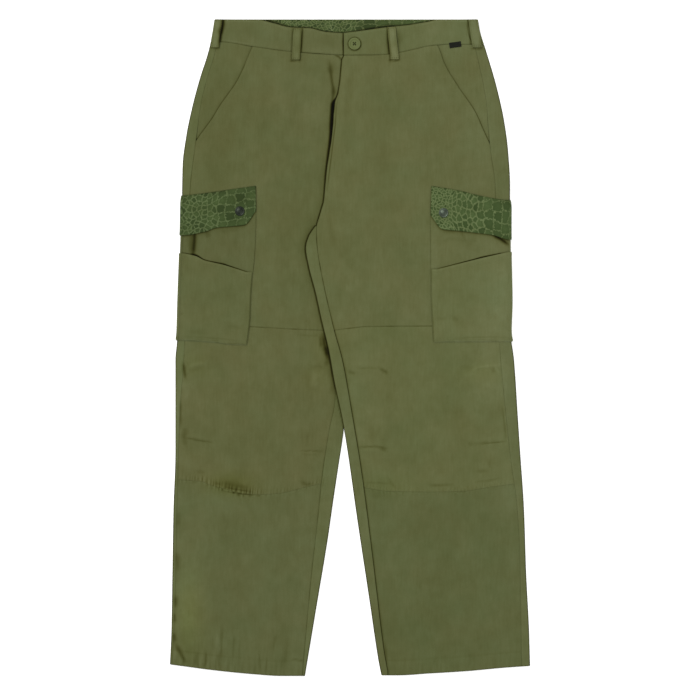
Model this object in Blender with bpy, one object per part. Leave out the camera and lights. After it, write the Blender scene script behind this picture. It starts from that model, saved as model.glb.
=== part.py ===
# Cargo pants laid out flat, front up, built from the pieces that a maker cuts and sews.
# Each piece is a closed sheet of cloth with a real thickness, and the pieces lie on each other.
#
# The tables and sizes are in millimetres.  x runs to the wearer's left, "drop" runs down from
# the top edge of the waistband, and z runs up from the surface that the pants lie on.

import math

import bmesh
import bpy

MILLIMETRE = 0.001

# Driving dimensions
LENGTH = 1050.0            # waistband's top edge to the lowest point of the hems
CENTRE_X = 0.8             # middle of the footprint in the tables' x
CLOTH = 1.2                # twill, one layer
SEAM = 0.3                 # gap between neighbouring pieces
HEM_CLOTH = 1.9            # the turned-up hem is two layers
HEM_DEPTH_SHARE = 0.91     # where the turn-up starts on the shin, as a share of its length
EDGE_HEIGHT = 4.4          # height of a leg's folded edge
EDGE_CLEAR = 1.2           # the outseam keeps this far inside the rounding of the edge
CROWN = 1.2                # how much higher the middle of a leg stands
BAND_CLOTH = 2.0           # waistband, two layers and interlining
BAND_HEIGHT = 5.6
BAND_DEPTH_BACK = 36.0
FACING_CLOTH = 0.8
FACING_ENDS = (-150.0, 144.0)
FACING_DROPS = (0.6, 18.0, 35.0)
POCKET_CLOTH = 1.0
SLIP_CLOTH = 1.2
FLAP_CLOTH = 1.2
POCKET_START = 18.0        # the pocket starts this far down under its flap
POCKET_REACH_BACK = 62.0   # how far a pocket goes round onto the back
SLIP_INSET = 1.5           # the slip pocket keeps this far inside the pocket under it
HIP_PIECE_SHARE = 0.6      # the hip piece ends at this share of the way to the crotch
SLASH_UNDERLAP = 15.0      # the hip piece goes on under the front panel
LOOP_CLOTH = 1.5
LOOP_RISE = 2.0
LOOP_STEPS = 8
HOLE_CIRCLE = 2.4          # the button's four holes sit on a circle of this radius
HOLE_RADIUS = 1.0
TAB_SIZE = (19.0, 8.5, 0.8)
ZIP_WIDTH = 24.0
ZIP_TAPE = 0.8
ZIP_INSET = 1.0
ZIP_DROPS = (62.0, 226.0)
LEG_MIDDLE = 120.0         # about the middle of a leg, from the middle of the pants

# Lifts of the cloth and where they start and end
POCKET_LIFT = 2.8          # room under the back panel for the pocket layers
POCKET_LIFT_REACH = (70.0, 110.0)
POCKET_LIFT_START = (235.0, 262.0)
POCKET_LIFT_END = (530.0, 562.0)
LEG_LIFT = 3.5             # the left leg lies over the right one below the crotch
LEG_LIFT_REACH = (48.0, 95.0)
LEG_LIFT_START = (306.0, 331.0)
LEG_LIFT_END = (680.0, 750.0)
INNER_FADE = (50.0, 100.0)    # the inner edge's own height fades out over this
FOLD_FADE = (4.0, 16.0)       # folds and darts start this far inside an edge
SLASH_RAMP = (3.0, 25.0)      # the hip piece rises to the outseam over this

# Puckers at the gathered seams: heights, and the shares of a stretch over which they fade
GATHER_HEIGHT = {"right": 0.55, "left": 0.3}
GATHER_ABOVE_SEAM = (0.8, 1.0)
GATHER_BELOW_SEAM = (0.0, 0.16)
HEM_PUCKER_HEIGHT = {"right": 0.35, "left": 0.12}
HEM_PUCKER_START = (0.86, 0.93)

# Shares of each stretch of the leg at which a row of the cloth lies
ROWS = {
    "hip": (0, .1, .2, .3, .42, .53, .64, .74, .83, .908, .954, 1),
    "thigh": (0, .1, .21, .36, .52, .68, .84, 1),
    "knee": (0, .07, .2, .33, .46, .59, .72, .84, .93, 1),
    "shin": (0, .07, .18, .3, .42, .54, .66, .78, HEM_DEPTH_SHARE, 1),
}
STRETCHES = {
    "hip": ("waist", "crotch"),
    "thigh": ("crotch", "thigh_seam"),
    "knee": ("thigh_seam", "knee_seam"),
    "shin": ("knee_seam", "hem"),
}

FRONT_COLUMNS = 20
BAND_COLUMNS = 14
FACING_COLUMNS = 8
HIP_COLUMNS = 4
ZIP_ROWS = 8
POCKET_ROWS = 6
SLIP_ROWS = 4
FLAP_SHARES = (0, 0.2, 0.6, 1)
BUTTON_SEGMENTS = 24
HOLE_SEGMENTS = 8
SNAP_SEGMENTS = 20
EDGE_ANGLES = (30, -30)
UNDER_REACHES = (35.0, 70.0, 110.0)      # from the outer edge, on the underside
UNDER_INNER_REACHES = (95.0, 48.0, 22.0)  # from the inner edge, on the underside
POCKET_UNDER_REACHES = (35.0, 46.0)      # from the outer edge, on the underside

# Lengthwise lines, as (drop, x) rows.  The two centre lines are the front and the back rise.
# "outer" and "inner" are the leg's folded edges, "outseam" and "inseam" its seams on top.
CENTRE_FRONT = (
    (36, -9), (58, -9), (65, -12), (98, -15), (117, -18), (134, -23.5), (181, -27.5),
    (245, -37), (290, -41), (303, -44.6), (318, -49.2), (331, -52.8),
)
CENTRE_BACK = (
    (0, -3), (130, -6), (200, -15), (260, -30), (290, -40), (303, -44.6), (318, -49.2),
    (331, -52.8),
)
LINES = {
    "right": {
        "outer": (
            (0, -216), (19, -219), (45, -224), (66, -230), (90, -238), (138, -251),
            (186, -261), (234, -267), (282, -267.8), (330, -268.6), (378, -270),
            (450, -272.6), (498, -274), (522, -276.4), (546, -278.4),
            (690, -278.4), (786, -281.6), (882, -283.2), (978, -284.8), (1032, -287.2),
        ),
        "outseam": (
            (35, -212), (53, -215.2), (98, -228.8), (140, -238.4), (187, -244.8),
            (210, -248), (264, -254.4), (400, -260), (500, -263), (554, -265.6),
            (610, -270), (770, -276), (930, -279), (1032, -284),
        ),
        "slash": (
            (36, -152), (49, -157.8), (76, -168.8), (102, -181.8), (133, -203.7),
            (162, -222), (188, -241), (210, -256), (250, -284),
        ),
        "inseam": (
            (331, -52.8), (347, -54), (365, -52), (403, -46), (494, -33), (547, -27),
            (603, -22.9), (660, -33), (726, -43.2), (795, -50.4), (896, -61.6),
            (984, -69.8), (1032, -74), (1050, -75.5),
        ),
        "inner": (
            (331, -50.2), (347, -46), (365, -40), (395, -28.8), (438, -17.6), (482, -10.4),
            (530, -6.4), (594, -5.6), (642, -8), (666, -10.4), (714, -17.6), (762, -24.8),
            (834, -35.2), (930, -51.2), (1026, -67.2), (1050, -71.2),
        ),
    },
    "left": {
        "outer": (
            (0, 205.6), (19, 208.8), (45, 216.8), (66, 223.2), (90, 230.4), (114, 236.8),
            (162, 247.2), (210, 253.6), (264, 256.6), (330, 256.4), (378, 256.6),
            (450, 258), (498, 256.6), (522, 260), (546, 263.2), (642, 269.6), (690, 272.8),
            (786, 279.2), (882, 282.4), (978, 287.2), (1034, 288.8),
        ),
        "outseam": (
            (35, 199), (47, 201.6), (98, 212.8), (136, 219.2), (171, 221.9), (210, 225.6),
            (264, 232.8), (400, 236), (530, 240.8), (610, 248), (715, 259.2), (770, 267.2),
            (846, 272), (925, 273.6), (1035, 275.2),
        ),
        "slash": (
            (36, 138), (47, 143), (74, 153.3), (108, 173.8), (147, 200.2), (178, 214.4),
            (200, 224.6), (215, 232), (250, 250),
        ),
        "inseam": (
            (331, -52.8), (347, -53), (370, -51.2), (403, -45.8), (494, -25.6),
            (547, -11.2), (613, 0.8), (728, 19.7), (867, 37.6), (1010, 55), (1043, 60.8),
        ),
        "inner": (
            (331, -55.4), (347, -65.6), (365, -70.4), (395, -65.6), (438, -54.4),
            (482, -44.8), (528, -33.6), (578, -24.8), (642, -11.2), (690, -3.2),
            (786, 10.4), (930, 32), (1026, 46.4), (1050, 51.2),
        ),
    },
}

# Crosswise lines, as (x, drop) rows
LEVELS = {
    "right": {
        "band_top": (
            (-216, 0), (-145, 0.8), (-121, 6.4), (-94, 12.8), (-66, 14), (-38, 20),
            (-9, 22), (30, 22),
        ),
        "waist": (
            (-226, 35), (-205, 36), (-158, 43), (-121, 48.5), (-94, 51.5), (-38, 55.5),
            (-9, 57), (30, 57),
        ),
        "waist_back": ((-226, 35), (-205, 36), (0, BAND_DEPTH_BACK)),
        "crotch": ((-280, 331), (0, 331)),
        "thigh_seam": ((-277, 486), (-160, 491.4), (-88, 495.5), (-8, 498.5)),
        "knee_seam": (
            (-279, 736), (-237, 739), (-222, 745), (-195, 752), (-167, 759.5),
            (-139, 759.7), (-112, 758), (-66, 747), (-24, 739),
        ),
        "hem": ((-287, 1031.6), (-215, 1041), (-149, 1047.5), (-109, 1050), (-71, 1050)),
    },
    "left": {
        "band_top": (
            (-9, 22), (19, 18.6), (55, 13.4), (92, 9.4), (123, 4.3), (139, 0.8), (206, 0),
        ),
        "waist": (
            (-20, 57.5), (21, 57.3), (59, 56.3), (84, 52.3), (102, 48.2), (133, 42),
            (162, 40), (217, 41),
        ),
        "waist_back": ((0, BAND_DEPTH_BACK), (162, 40), (217, 41)),
        "crotch": ((-60, 331), (280, 331)),
        "thigh_seam": ((-45, 499), (-24, 497), (0, 494.2), (31, 491.2), (131, 490.6), (261, 492)),
        "knee_seam": (
            (5, 744), (27, 749.3), (62, 754.7), (130, 755.7), (173, 755.2), (225, 748),
            (277, 741),
        ),
        "hem": ((51, 1049), (77, 1049), (128, 1046), (190, 1042), (251, 1036.5), (289, 1034)),
    },
}

# Height of the cloth near the rise and the inner edge, as (drop, height over the underside)
INNER_HEIGHTS = {
    "right": ((58, 3.6), (303, 3.6), (331, 3.2), (680, 3.2), (750, 4.4)),
    "left": ((58, 6.2), (303, 6.2), (331, 3.2), (680, 3.2), (750, 4.4)),
}
# How far the right front goes under the left one, as (drop, width)
UNDERLAP = ((58, 10), (230, 10), (262, 5), (285, 3), (303, 0), (331, 0))
# Height of the waistband's top face, as (x, height)
BAND_HEIGHTS = {
    "right": ((-216, BAND_HEIGHT), (-70, BAND_HEIGHT), (-25, 5.3), (30, 5.3)),
    "left": ((-9, 7.6), (28, 7.6), (85, BAND_HEIGHT), (206, BAND_HEIGHT)),
}
BAND_ENDS = {"right": 26.0, "left": -9.0}

# Largest soft folds and darts: centre, length, turn from crosswise, half width and height
FOLDS = {
    "right": (
        # x, drop, length, turn, half width, height
        (-243, 548, 44, -4, 9, 0.9),
        (-240, 704, 56, -10, 10, 0.9),
        (-40, 715, 44, -2, 10, -0.8),
        (-60, 560, 60, 60, 14, 0.6),
        (-120, 135, 120, 68, 22, 0.7),
        (-92, 300, 70, 30, 18, -0.7),
        (-140, 640, 120, 80, 26, -0.6),
        (-200, 880, 190, 84, 22, 0.7),
        (-105, 900, 210, 97, 20, -0.7),
    ),
    "left": (
        (26, 560, 62, 0, 9, 0.9),
        (46, 683, 52, -3, 10, 0.8),
        (222, 556, 46, 8, 9, 0.9),
        (232, 682, 54, 8, 10, 0.8),
        (60, 180, 150, 110, 24, 0.7),
        (56, 380, 100, 140, 18, -0.7),
        (130, 620, 120, 95, 26, -0.6),
        (115, 880, 210, 82, 22, 0.7),
        (210, 900, 190, 94, 20, -0.7),
    ),
}

# Cargo pocket outlines, as (reach, drop) rows, and the front edge as (drop, x) rows.
# Reach is the way from the outer edge: over 0 on top, under 0 on the underside.
POCKET_MIDDLE = 306.0
POCKETS = {
    "right": {
        "columns": (101, 90, 79, 68, 56, 48, 38, 20),
        "front": (
            (266, -149.6), (306, -149.3), (366, -151), (443, -157.2), (472, -158), (491, -159.6),
            (521, -163.6),
        ),
        "flap_top": ((-62, 282), (0, 282), (12, 281), (118, 266.4)),
        "flap_bottom": (
            (-62, 322), (-46, 345), (0, 346), (38, 340), (56, 333.6), (101, 329), (119, 306),
        ),
        "slip_top": ((-62, 374), (0, 374), (24, 378.4), (40, 385.6), (68, 392), (109, 404)),
        "pocket_bottom": ((-62, 513), (0, 514), (66, 517.6), (90, 520.6), (118, 521.4)),
    },
    "left": {
        "columns": (108, 92, 80, 68, 48, 28, 20),
        "front": ((266, 130.9), (306, 129.6), (430, 130), (517, 133.5)),
        "flap_top": ((-62, 289.4), (0, 289.4), (40, 283.8), (84, 273.6), (127, 266.4)),
        "flap_bottom": (
            (-62, 330), (-46, 352), (0, 352.8), (28, 345.4), (80, 339), (108, 336),
            (127, 313.3),
        ),
        "slip_top": ((-62, 372), (0, 372), (13, 374.4), (118, 399.5)),
        "pocket_bottom": ((-62, 515), (0, 516), (92, 516.4), (127, 517.5)),
    },
}
# The flap starts on the leg and then lies on the pocket, as (share of its depth, height)
FLAP_LAY = ((0, SEAM), (0.2, SEAM + POCKET_CLOTH + SEAM), (1, SEAM + POCKET_CLOTH + SEAM))

# Half profiles of the round pieces, as (radius, height) rows
BUTTON_PROFILE = (
    (0, 0), (8.6, 0), (9.9, 0.9), (10.2, 1.8), (9.4, 2.8), (7.8, 2.7), (6.6, 2.0), (0, 1.8),
)
SNAP_PROFILE = (
    (0, 0), (7.3, 0), (7.7, 0.5), (7.2, 1.2), (6.2, 1.25), (5.6, 1.0), (4.1, 1.7), (0, 2.1),
)
HOLE_DEPTHS = (-1.0, 4.0)

# Where the small pieces sit, as (x, drop)
BUTTON_AT = (8.0, 40.0)
TAB_AT = (169.0, 40.8)
TAB_TURN = 8.0
SNAPS_AT = {"right": (-175.2, 306.9), "left": (150.4, 309.6)}
# Belt loops: top centre, bottom centre and width
BELT_LOOPS = {
    # name: (side, top x, top drop, bottom x, bottom drop, width)
    "belt_loop_front_right": ("right", -82.5, 14.5, -85.8, 65.0, 13.5),
    "belt_loop_front_left": ("left", 66.9, 12.5, 72.5, 64.5, 13.5),
    "belt_loop_side_right": ("right", -208.6, 0.6, -215.0, 45.5, 14.0),
    "belt_loop_side_left": ("left", 197.4, 0.6, 204.6, 45.5, 15.5),
}

# Finishes: colour, roughness and metallic value
OLIVE = ((0.118, 0.133, 0.048, 1), 0.85, 0.0)
OLIVE_DEEP = ((0.105, 0.118, 0.042, 1), 0.88, 0.0)
PRINT_GREEN = ((0.066, 0.110, 0.040, 1), 0.8, 0.0)
BUTTON_OLIVE = ((0.125, 0.150, 0.060, 1), 0.4, 0.0)
TAB_BLACK = ((0.010, 0.011, 0.008, 1), 0.7, 0.0)
GUNMETAL = ((0.085, 0.085, 0.090, 1), 0.32, 1.0)
ZIP_DARK = ((0.045, 0.055, 0.022, 1), 0.7, 0.0)


def curve(table, place):
    """Smooth value at a place along a table of (place, value) rows, held past its ends."""
    if place <= table[0][0]:
        return table[0][1]
    if place >= table[-1][0]:
        return table[-1][1]
    after = next(i for i, row in enumerate(table) if row[0] >= place)
    (x0, y0), (x1, y1) = table[after - 1], table[after]
    span = x1 - x0
    middle = (y1 - y0) / span

    def slope(index):
        if index == 0 or index == len(table) - 1:
            return middle
        (xa, ya), (xb, yb), (xc, yc) = table[index - 1], table[index], table[index + 1]
        before = (yb - ya) / (xb - xa)
        behind = (yc - yb) / (xc - xb)
        if before * behind <= 0:
            return 0.0
        return 2 * before * behind / (before + behind)

    t = (place - x0) / span
    start, end = slope(after - 1) * span, slope(after) * span
    return (
        y0 * (2 * t**3 - 3 * t**2 + 1)
        + start * (t**3 - 2 * t**2 + t)
        + y1 * (3 * t**2 - 2 * t**3)
        + end * (t**3 - t**2)
    )


def mix(a, b, share):
    return a + (b - a) * share


def rise(value, start, end):
    """0 before start, 1 after end, and a soft step between."""
    t = min(max((value - start) / (end - start), 0.0), 1.0)
    return t * t * (3 - 2 * t)


def fall(value, start, end):
    return 1 - rise(value, start, end)


def outward(side):
    return 1 if side == "left" else -1


def outer_x(side, drop):
    return curve(LINES[side]["outer"], drop)


def inner_x(side, drop):
    """The front rise above the crotch, and the leg's inner edge below it."""
    if drop < CENTRE_FRONT[-1][0]:
        return curve(CENTRE_FRONT, drop)
    return leg_inner_x(side, drop)


def leg_inner_x(side, drop):
    return curve(LINES[side]["inner"], drop)


def back_rise_x(_, drop):
    return curve(CENTRE_BACK, drop)


def outseam_x(side, drop):
    """The outseam stays clear of the rounded edge."""
    edge = outer_x(side, drop)
    inset = abs(edge - curve(LINES[side]["outseam"], drop))
    return edge - outward(side) * max(inset, EDGE_HEIGHT / 2 + EDGE_CLEAR)


def front_edge_x(side, drop):
    """The front panel ends at the slash pocket, and below it at the outseam."""
    pick = min if side == "left" else max
    return pick(curve(LINES[side]["slash"], drop), outseam_x(side, drop))


def inseam_x(side, drop):
    """The front rise with its underlap above the crotch, and the inseam below it."""
    if drop > CENTRE_FRONT[-1][0]:
        return curve(LINES[side]["inseam"], drop)
    underlap = curve(UNDERLAP, drop) if side == "right" else 0.0
    return curve(CENTRE_FRONT, drop) + underlap


def fold_height(side, x, drop):
    """Soft ridges and troughs of the cloth at a point."""
    height = 0.0
    for fold_x, fold_drop, length, turn, half_width, peak in FOLDS[side]:
        along_x, along_drop = math.cos(math.radians(turn)), math.sin(math.radians(turn))
        along = (x - fold_x) * along_x + (drop - fold_drop) * along_drop
        across = (drop - fold_drop) * along_x - (x - fold_x) * along_drop
        taper = fall(abs(along), 0.25 * length, 0.55 * length)
        height += peak * taper * math.exp(-(across / half_width) ** 2)
    return height


def under_height(side, x, drop):
    """Height of the underside: it rises over the pockets, and where one leg crosses the other."""
    pocket = POCKET_LIFT * fall(abs(x - outer_x(side, drop)), *POCKET_LIFT_REACH)
    pocket *= rise(drop, *POCKET_LIFT_START) * fall(drop, *POCKET_LIFT_END)
    if side == "right":
        return pocket
    crossing = LEG_LIFT * fall(abs(x - inner_x(side, drop)), *LEG_LIFT_REACH)
    return pocket + crossing * rise(drop, *LEG_LIFT_START) * fall(drop, *LEG_LIFT_END)


def top_height(side, x, drop):
    """Height of the cloth's upper face."""
    reach_out = abs(x - outer_x(side, drop))
    reach_in = abs(x - inner_x(side, drop))
    crown = math.sin(math.pi * reach_out / (reach_out + reach_in))
    height = EDGE_HEIGHT + CROWN * crown
    height = mix(height, curve(INNER_HEIGHTS[side], drop), fall(reach_in, *INNER_FADE))
    clear_of_edges = rise(reach_out, *FOLD_FADE) * rise(reach_in, *FOLD_FADE)
    return under_height(side, x, drop) + height + fold_height(side, x, drop) * clear_of_edges


def edge_radius(side, x, drop):
    """Radius of a leg's folded edge, which is at x."""
    return (top_height(side, x, drop) - under_height(side, x, drop)) / 2


def surface(side, key, drop):
    """Point on the outer face of the pants, and the way out of the cloth there.

    A key is ("top", x), ("under", x), ("edge", angle) or ("inner_edge", angle).
    """
    place, value = key
    if place == "top":
        return (value, drop, top_height(side, value, drop)), (0, 1)
    if place == "under":
        return (value, drop, under_height(side, value, drop)), (0, -1)
    if place == "edge":
        edge, facing = outer_x(side, drop), outward(side)
    else:
        edge, facing = leg_inner_x(side, drop), -outward(side)
    radius = edge_radius(side, edge, drop)
    angle = math.radians(value)
    way = (facing * math.cos(angle), math.sin(angle))
    x = edge + (way[0] - facing) * radius
    return (x, drop, under_height(side, edge, drop) + (1 + way[1]) * radius), way


def lifted(side, key, drop, offset):
    """World point in metres, moved out of the cloth by an offset."""
    (x, drop, z), (way_x, way_z) = surface(side, key, drop)
    return world(x + way_x * offset, drop, z + way_z * offset)


def world(x, drop, z):
    return (
        (x - CENTRE_X) * MILLIMETRE,
        (LENGTH / 2 - drop) * MILLIMETRE,
        z * MILLIMETRE,
    )


def level(side, row, x, back=False):
    """Drop of a row of the cloth at x.  A row is (stretch, share, nudge)."""
    stretch, share, nudge = row
    above, below = STRETCHES[stretch]
    if back and above == "waist":
        above = "waist_back"
    return mix(curve(LEVELS[side][above], x), curve(LEVELS[side][below], x), share) + nudge


def meet(side, row, line, back=False):
    """x and drop where a lengthwise line crosses a row."""
    drop = level(side, row, LEG_MIDDLE * outward(side), back)
    for _ in range(8):
        x = line(side, drop)
        drop = level(side, row, x, back)
    return x, drop


def rows_of(stretches, last_nudge=-SEAM / 2):
    """Rows down one or more stretches, with half a seam's gap at both ends."""
    rows = []
    for stretch in stretches:
        shares = ROWS[stretch] if not rows else ROWS[stretch][1:]
        rows += [(stretch, share, 0.0) for share in shares]
    rows[0] = rows[0][:2] + (SEAM / 2,)
    rows[-1] = rows[-1][:2] + (last_nudge,)
    return rows


def material(name, finish):
    colour, roughness, metallic = finish
    made = bpy.data.materials.new(name)
    made.use_nodes = True
    shader = made.node_tree.nodes["Principled BSDF"]
    shader.inputs["Base Color"].default_value = colour
    shader.inputs["Roughness"].default_value = roughness
    shader.inputs["Metallic"].default_value = metallic
    made.diffuse_color = colour
    return made


def add_object(name, mesh_builder, finish):
    """Close a bmesh into a named object with its own material."""
    bmesh.ops.recalc_face_normals(mesh_builder, faces=mesh_builder.faces)
    mesh = bpy.data.meshes.new(name)
    mesh_builder.to_mesh(mesh)
    mesh_builder.free()
    mesh.materials.append(material(name, finish))
    made = bpy.data.objects.new(name, mesh)
    bpy.context.scene.collection.objects.link(made)
    return made


def cloth_sheet(name, outer, inner, finish):
    """Closed wall between two grids of points; a None in a grid is a place with no cloth."""
    builder = bmesh.new()
    vertices = [
        [[builder.verts.new(point) if point else None for point in row] for row in grid]
        for grid in (outer, inner)
    ]
    cells = [
        (r, c)
        for r in range(len(outer) - 1)
        for c in range(len(outer[0]) - 1)
        if all(outer[a][b] for a, b in ((r, c), (r, c + 1), (r + 1, c), (r + 1, c + 1)))
    ]
    border = {}
    for r, c in cells:
        corners = ((r, c), (r, c + 1), (r + 1, c + 1), (r + 1, c))
        for grid in vertices:
            near, along, across, down = (grid[i][j] for i, j in corners)
            builder.faces.new((near, along, across))
            builder.faces.new((near, across, down))
        for start, end in zip(corners, corners[1:] + corners[:1]):
            if (end, start) in border:
                del border[(end, start)]
            else:
                border[(start, end)] = True
    for start, end in border:
        a, b = (vertices[0][i][j] for i, j in (start, end))
        c, d = (vertices[1][i][j] for i, j in (end, start))
        builder.faces.new((a, b, c))
        builder.faces.new((a, c, d))
    loose = [vertex for vertex in builder.verts if not vertex.link_faces]
    bmesh.ops.delete(builder, geom=loose, context="VERTS")
    return add_object(name, builder, finish)


def spread(start, end, count):
    return [mix(start, end, index / count) for index in range(count + 1)]


def pucker(side, row, column, columns):
    """Gathers at the knee seam and the hem: every second column stands up."""
    stretch, share, _ = row
    if column in (0, columns):
        return 0.0
    height = 0.0
    if stretch == "knee":
        height = GATHER_HEIGHT[side] * rise(share, *GATHER_ABOVE_SEAM)
    if stretch == "shin":
        height = GATHER_HEIGHT[side] * fall(share, *GATHER_BELOW_SEAM)
        height += HEM_PUCKER_HEIGHT[side] * rise(share, *HEM_PUCKER_START)
    return height * (1 if column % 2 else -1)


def cloth_depth(row):
    stretch, share, _ = row
    return HEM_CLOTH if stretch == "shin" and share >= HEM_DEPTH_SHARE else CLOTH


def front_piece(name, side, stretches, left_line, right_line, last_nudge=-SEAM / 2):
    """A panel of the front, from its outer line to its inner line."""
    rows = rows_of(stretches, last_nudge)
    outer, inner = [], []
    for row in rows:
        start, _ = meet(side, row, left_line)
        end, _ = meet(side, row, right_line)
        start -= outward(side) * SEAM / 2
        end += outward(side) * SEAM / 2
        outer_row, inner_row = [], []
        for column, x in enumerate(spread(start, end, FRONT_COLUMNS)):
            drop = level(side, row, x)
            lift = pucker(side, row, column, FRONT_COLUMNS)
            outer_row.append(lifted(side, ("top", x), drop, lift))
            inner_row.append(lifted(side, ("top", x), drop, lift - cloth_depth(row)))
        outer.append(outer_row)
        inner.append(inner_row)
    cloth_sheet(name, outer, inner, OLIVE)


def back_keys(side, row):
    """Places along a row of the back panel, from the outseam round to the inseam."""
    way = outward(side)
    stretch, share, _ = row
    edge, drop = meet(side, row, outer_x, back=True)
    turn = edge - way * edge_radius(side, edge, drop)
    seam, _ = meet(side, row, outseam_x, back=True)
    seam += way * SEAM / 2
    keys = [("top", seam), ("top", (seam + turn) / 2), ("top", turn)]
    keys += [("edge", angle) for angle in EDGE_ANGLES]
    keys += [("under", turn)]
    keys += [("under", edge - way * reach) for reach in UNDER_REACHES]
    inner_edge, drop = meet(side, row, leg_inner_x, back=True)
    inner_turn = inner_edge + way * edge_radius(side, inner_edge, drop)
    fold, last = inner_edge, inner_turn
    if stretch == "hip":
        fold, _ = meet(side, row, back_rise_x, back=True)
        last = fold + way * SEAM / 2
    keys += [("under", fold + way * reach) for reach in UNDER_INNER_REACHES]
    keys += [("under", last)]
    if stretch == "hip" and share < 1:
        return keys + [None] * (len(EDGE_ANGLES) + 2)
    inseam, _ = meet(side, row, inseam_x, back=True)
    keys += [("inner_edge", angle) for angle in reversed(EDGE_ANGLES)]
    return keys + [("top", inner_turn), ("top", inseam - way * SEAM / 2)]


def back_point(side, row, key, offset):
    if key is None:
        return None
    place, value = key
    if place == "edge":
        _, drop = meet(side, row, outer_x, back=True)
    elif place == "inner_edge":
        _, drop = meet(side, row, leg_inner_x, back=True)
    else:
        drop = level(side, row, value, back=True)
    return lifted(side, key, drop, offset)


def back_piece(side):
    """The back panel, wrapped round both folded edges up to the seams on top."""
    outer, inner = [], []
    for row in rows_of(("hip", "thigh", "knee", "shin"), last_nudge=0.0):
        keys = back_keys(side, row)
        outer.append([back_point(side, row, key, 0.0) for key in keys])
        inner.append([back_point(side, row, key, -cloth_depth(row)) for key in keys])
    cloth_sheet("back_panel_" + side, outer, inner, OLIVE_DEEP)


def hip_piece(side):
    """The piece seen through the slash pocket's opening, which goes on under the front."""
    shares = [share for share in ROWS["hip"] if share < HIP_PIECE_SHARE]
    rows = [("hip", share, SEAM / 2 if share == 0 else 0.0) for share in shares]
    way = outward(side)
    outer, inner = [], []
    for row in rows:
        seam, _ = meet(side, row, outseam_x)
        seam -= way * SEAM / 2
        edge, _ = meet(side, row, front_edge_x)
        end = edge - way * SLASH_UNDERLAP
        outer_row, inner_row = [], []
        for x in spread(seam, edge, HIP_COLUMNS) + [end]:
            drop = level(side, row, x)
            sink = (CLOTH + SEAM) * fall((x - edge) * way, *SLASH_RAMP)
            outer_row.append(lifted(side, ("top", x), drop, -sink))
            inner_row.append(lifted(side, ("top", x), drop, -sink - CLOTH))
        outer.append(outer_row)
        inner.append(inner_row)
    cloth_sheet("hip_piece_" + side, outer, inner, OLIVE)


def waistband(side):
    """Half the waistband: front end, round the side and on to the centre back."""
    way = outward(side)
    radius = BAND_HEIGHT / 2
    edge_depth = curve(LEVELS[side]["waist_back"], outer_x(side, BAND_DEPTH_BACK)) - SEAM / 2
    outer, inner = [], []
    for share in (0.0, 0.5, 1.0):
        edge_drop = share * edge_depth
        edge = outer_x(side, edge_drop)
        outer_row, inner_row = [], []
        for x in spread(BAND_ENDS[side] + way * SEAM / 2, edge - way * radius, BAND_COLUMNS):
            top = curve(LEVELS[side]["band_top"], x)
            drop = mix(top, curve(LEVELS[side]["waist"], x) - SEAM / 2, share)
            z = curve(BAND_HEIGHTS[side], x)
            outer_row.append(world(x, drop, z))
            inner_row.append(world(x, drop, z - BAND_CLOTH))
        for angle in EDGE_ANGLES:
            across, up = math.cos(math.radians(angle)), math.sin(math.radians(angle))
            for row, size in ((outer_row, radius), (inner_row, radius - BAND_CLOTH)):
                x = edge - way * radius + way * across * size
                row.append(world(x, edge_drop, radius + up * size))
        for x in spread(edge - way * radius, CENTRE_BACK[0][1] + way * SEAM / 2, BAND_COLUMNS // 2):
            drop = mix(0.0, curve(LEVELS[side]["waist_back"], x) - SEAM / 2, share)
            outer_row.append(world(x, drop, 0.0))
            inner_row.append(world(x, drop, BAND_CLOTH))
        outer.append(outer_row)
        inner.append(inner_row)
    cloth_sheet("waistband_" + side, outer, inner, OLIVE)


def waistband_facing():
    """Printed facing inside the back waistband, seen above the lower front edge."""
    low = BAND_CLOTH + SEAM
    columns = spread(*FACING_ENDS, FACING_COLUMNS)
    outer = [[world(x, drop, low + FACING_CLOTH) for x in columns] for drop in FACING_DROPS]
    inner = [[world(x, drop, low) for x in columns] for drop in FACING_DROPS]
    cloth_sheet("waistband_facing", outer, inner, PRINT_GREEN)


def fly_zip():
    """Closed zip tape between the right front's underlap and the left front."""
    low = curve(INNER_HEIGHTS["right"], ZIP_DROPS[0]) + SEAM
    outer, inner = [], []
    for drop in spread(*ZIP_DROPS, ZIP_ROWS):
        start = curve(CENTRE_FRONT, drop) + ZIP_INSET
        columns = spread(start, start + ZIP_WIDTH, 2)
        outer.append([world(x, drop, low + ZIP_TAPE) for x in columns])
        inner.append([world(x, drop, low) for x in columns])
    cloth_sheet("fly_zip", outer, inner, ZIP_DARK)


def pocket_layer(name, side, top_line, bottom_line, lay, thickness, inset, finish, shares):
    """A pocket piece that lies on the leg and goes round its outer edge onto the back."""
    way = outward(side)
    pocket = POCKETS[side]
    front_reach = abs(curve(pocket["front"], POCKET_MIDDLE) - outer_x(side, POCKET_MIDDLE))
    outer, inner = [], []
    for share in shares:

        def drop_at(reach):
            return mix(curve(top_line, reach), curve(bottom_line, reach), share)

        places = []
        for reach in (front_reach,) + pocket["columns"]:
            drop = drop_at(reach)
            edge = outer_x(side, drop)
            front = abs(curve(pocket["front"], drop) - edge) - inset
            places.append((("top", edge - way * reach * front / front_reach), drop))
        drop = drop_at(0.0)
        edge = outer_x(side, drop)
        turn = edge - way * edge_radius(side, edge, drop)
        places.append((("top", turn), drop))
        places += [(("edge", angle), drop) for angle in EDGE_ANGLES]
        places.append((("under", turn), drop))
        for reach in POCKET_UNDER_REACHES + (POCKET_REACH_BACK - inset,):
            drop = drop_at(-reach)
            places.append((("under", outer_x(side, drop) - way * reach), drop))
        offset = curve(lay, share)
        outer.append([lifted(side, key, drop, offset + thickness) for key, drop in places])
        inner.append([lifted(side, key, drop, offset) for key, drop in places])
    cloth_sheet(name, outer, inner, finish)


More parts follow.
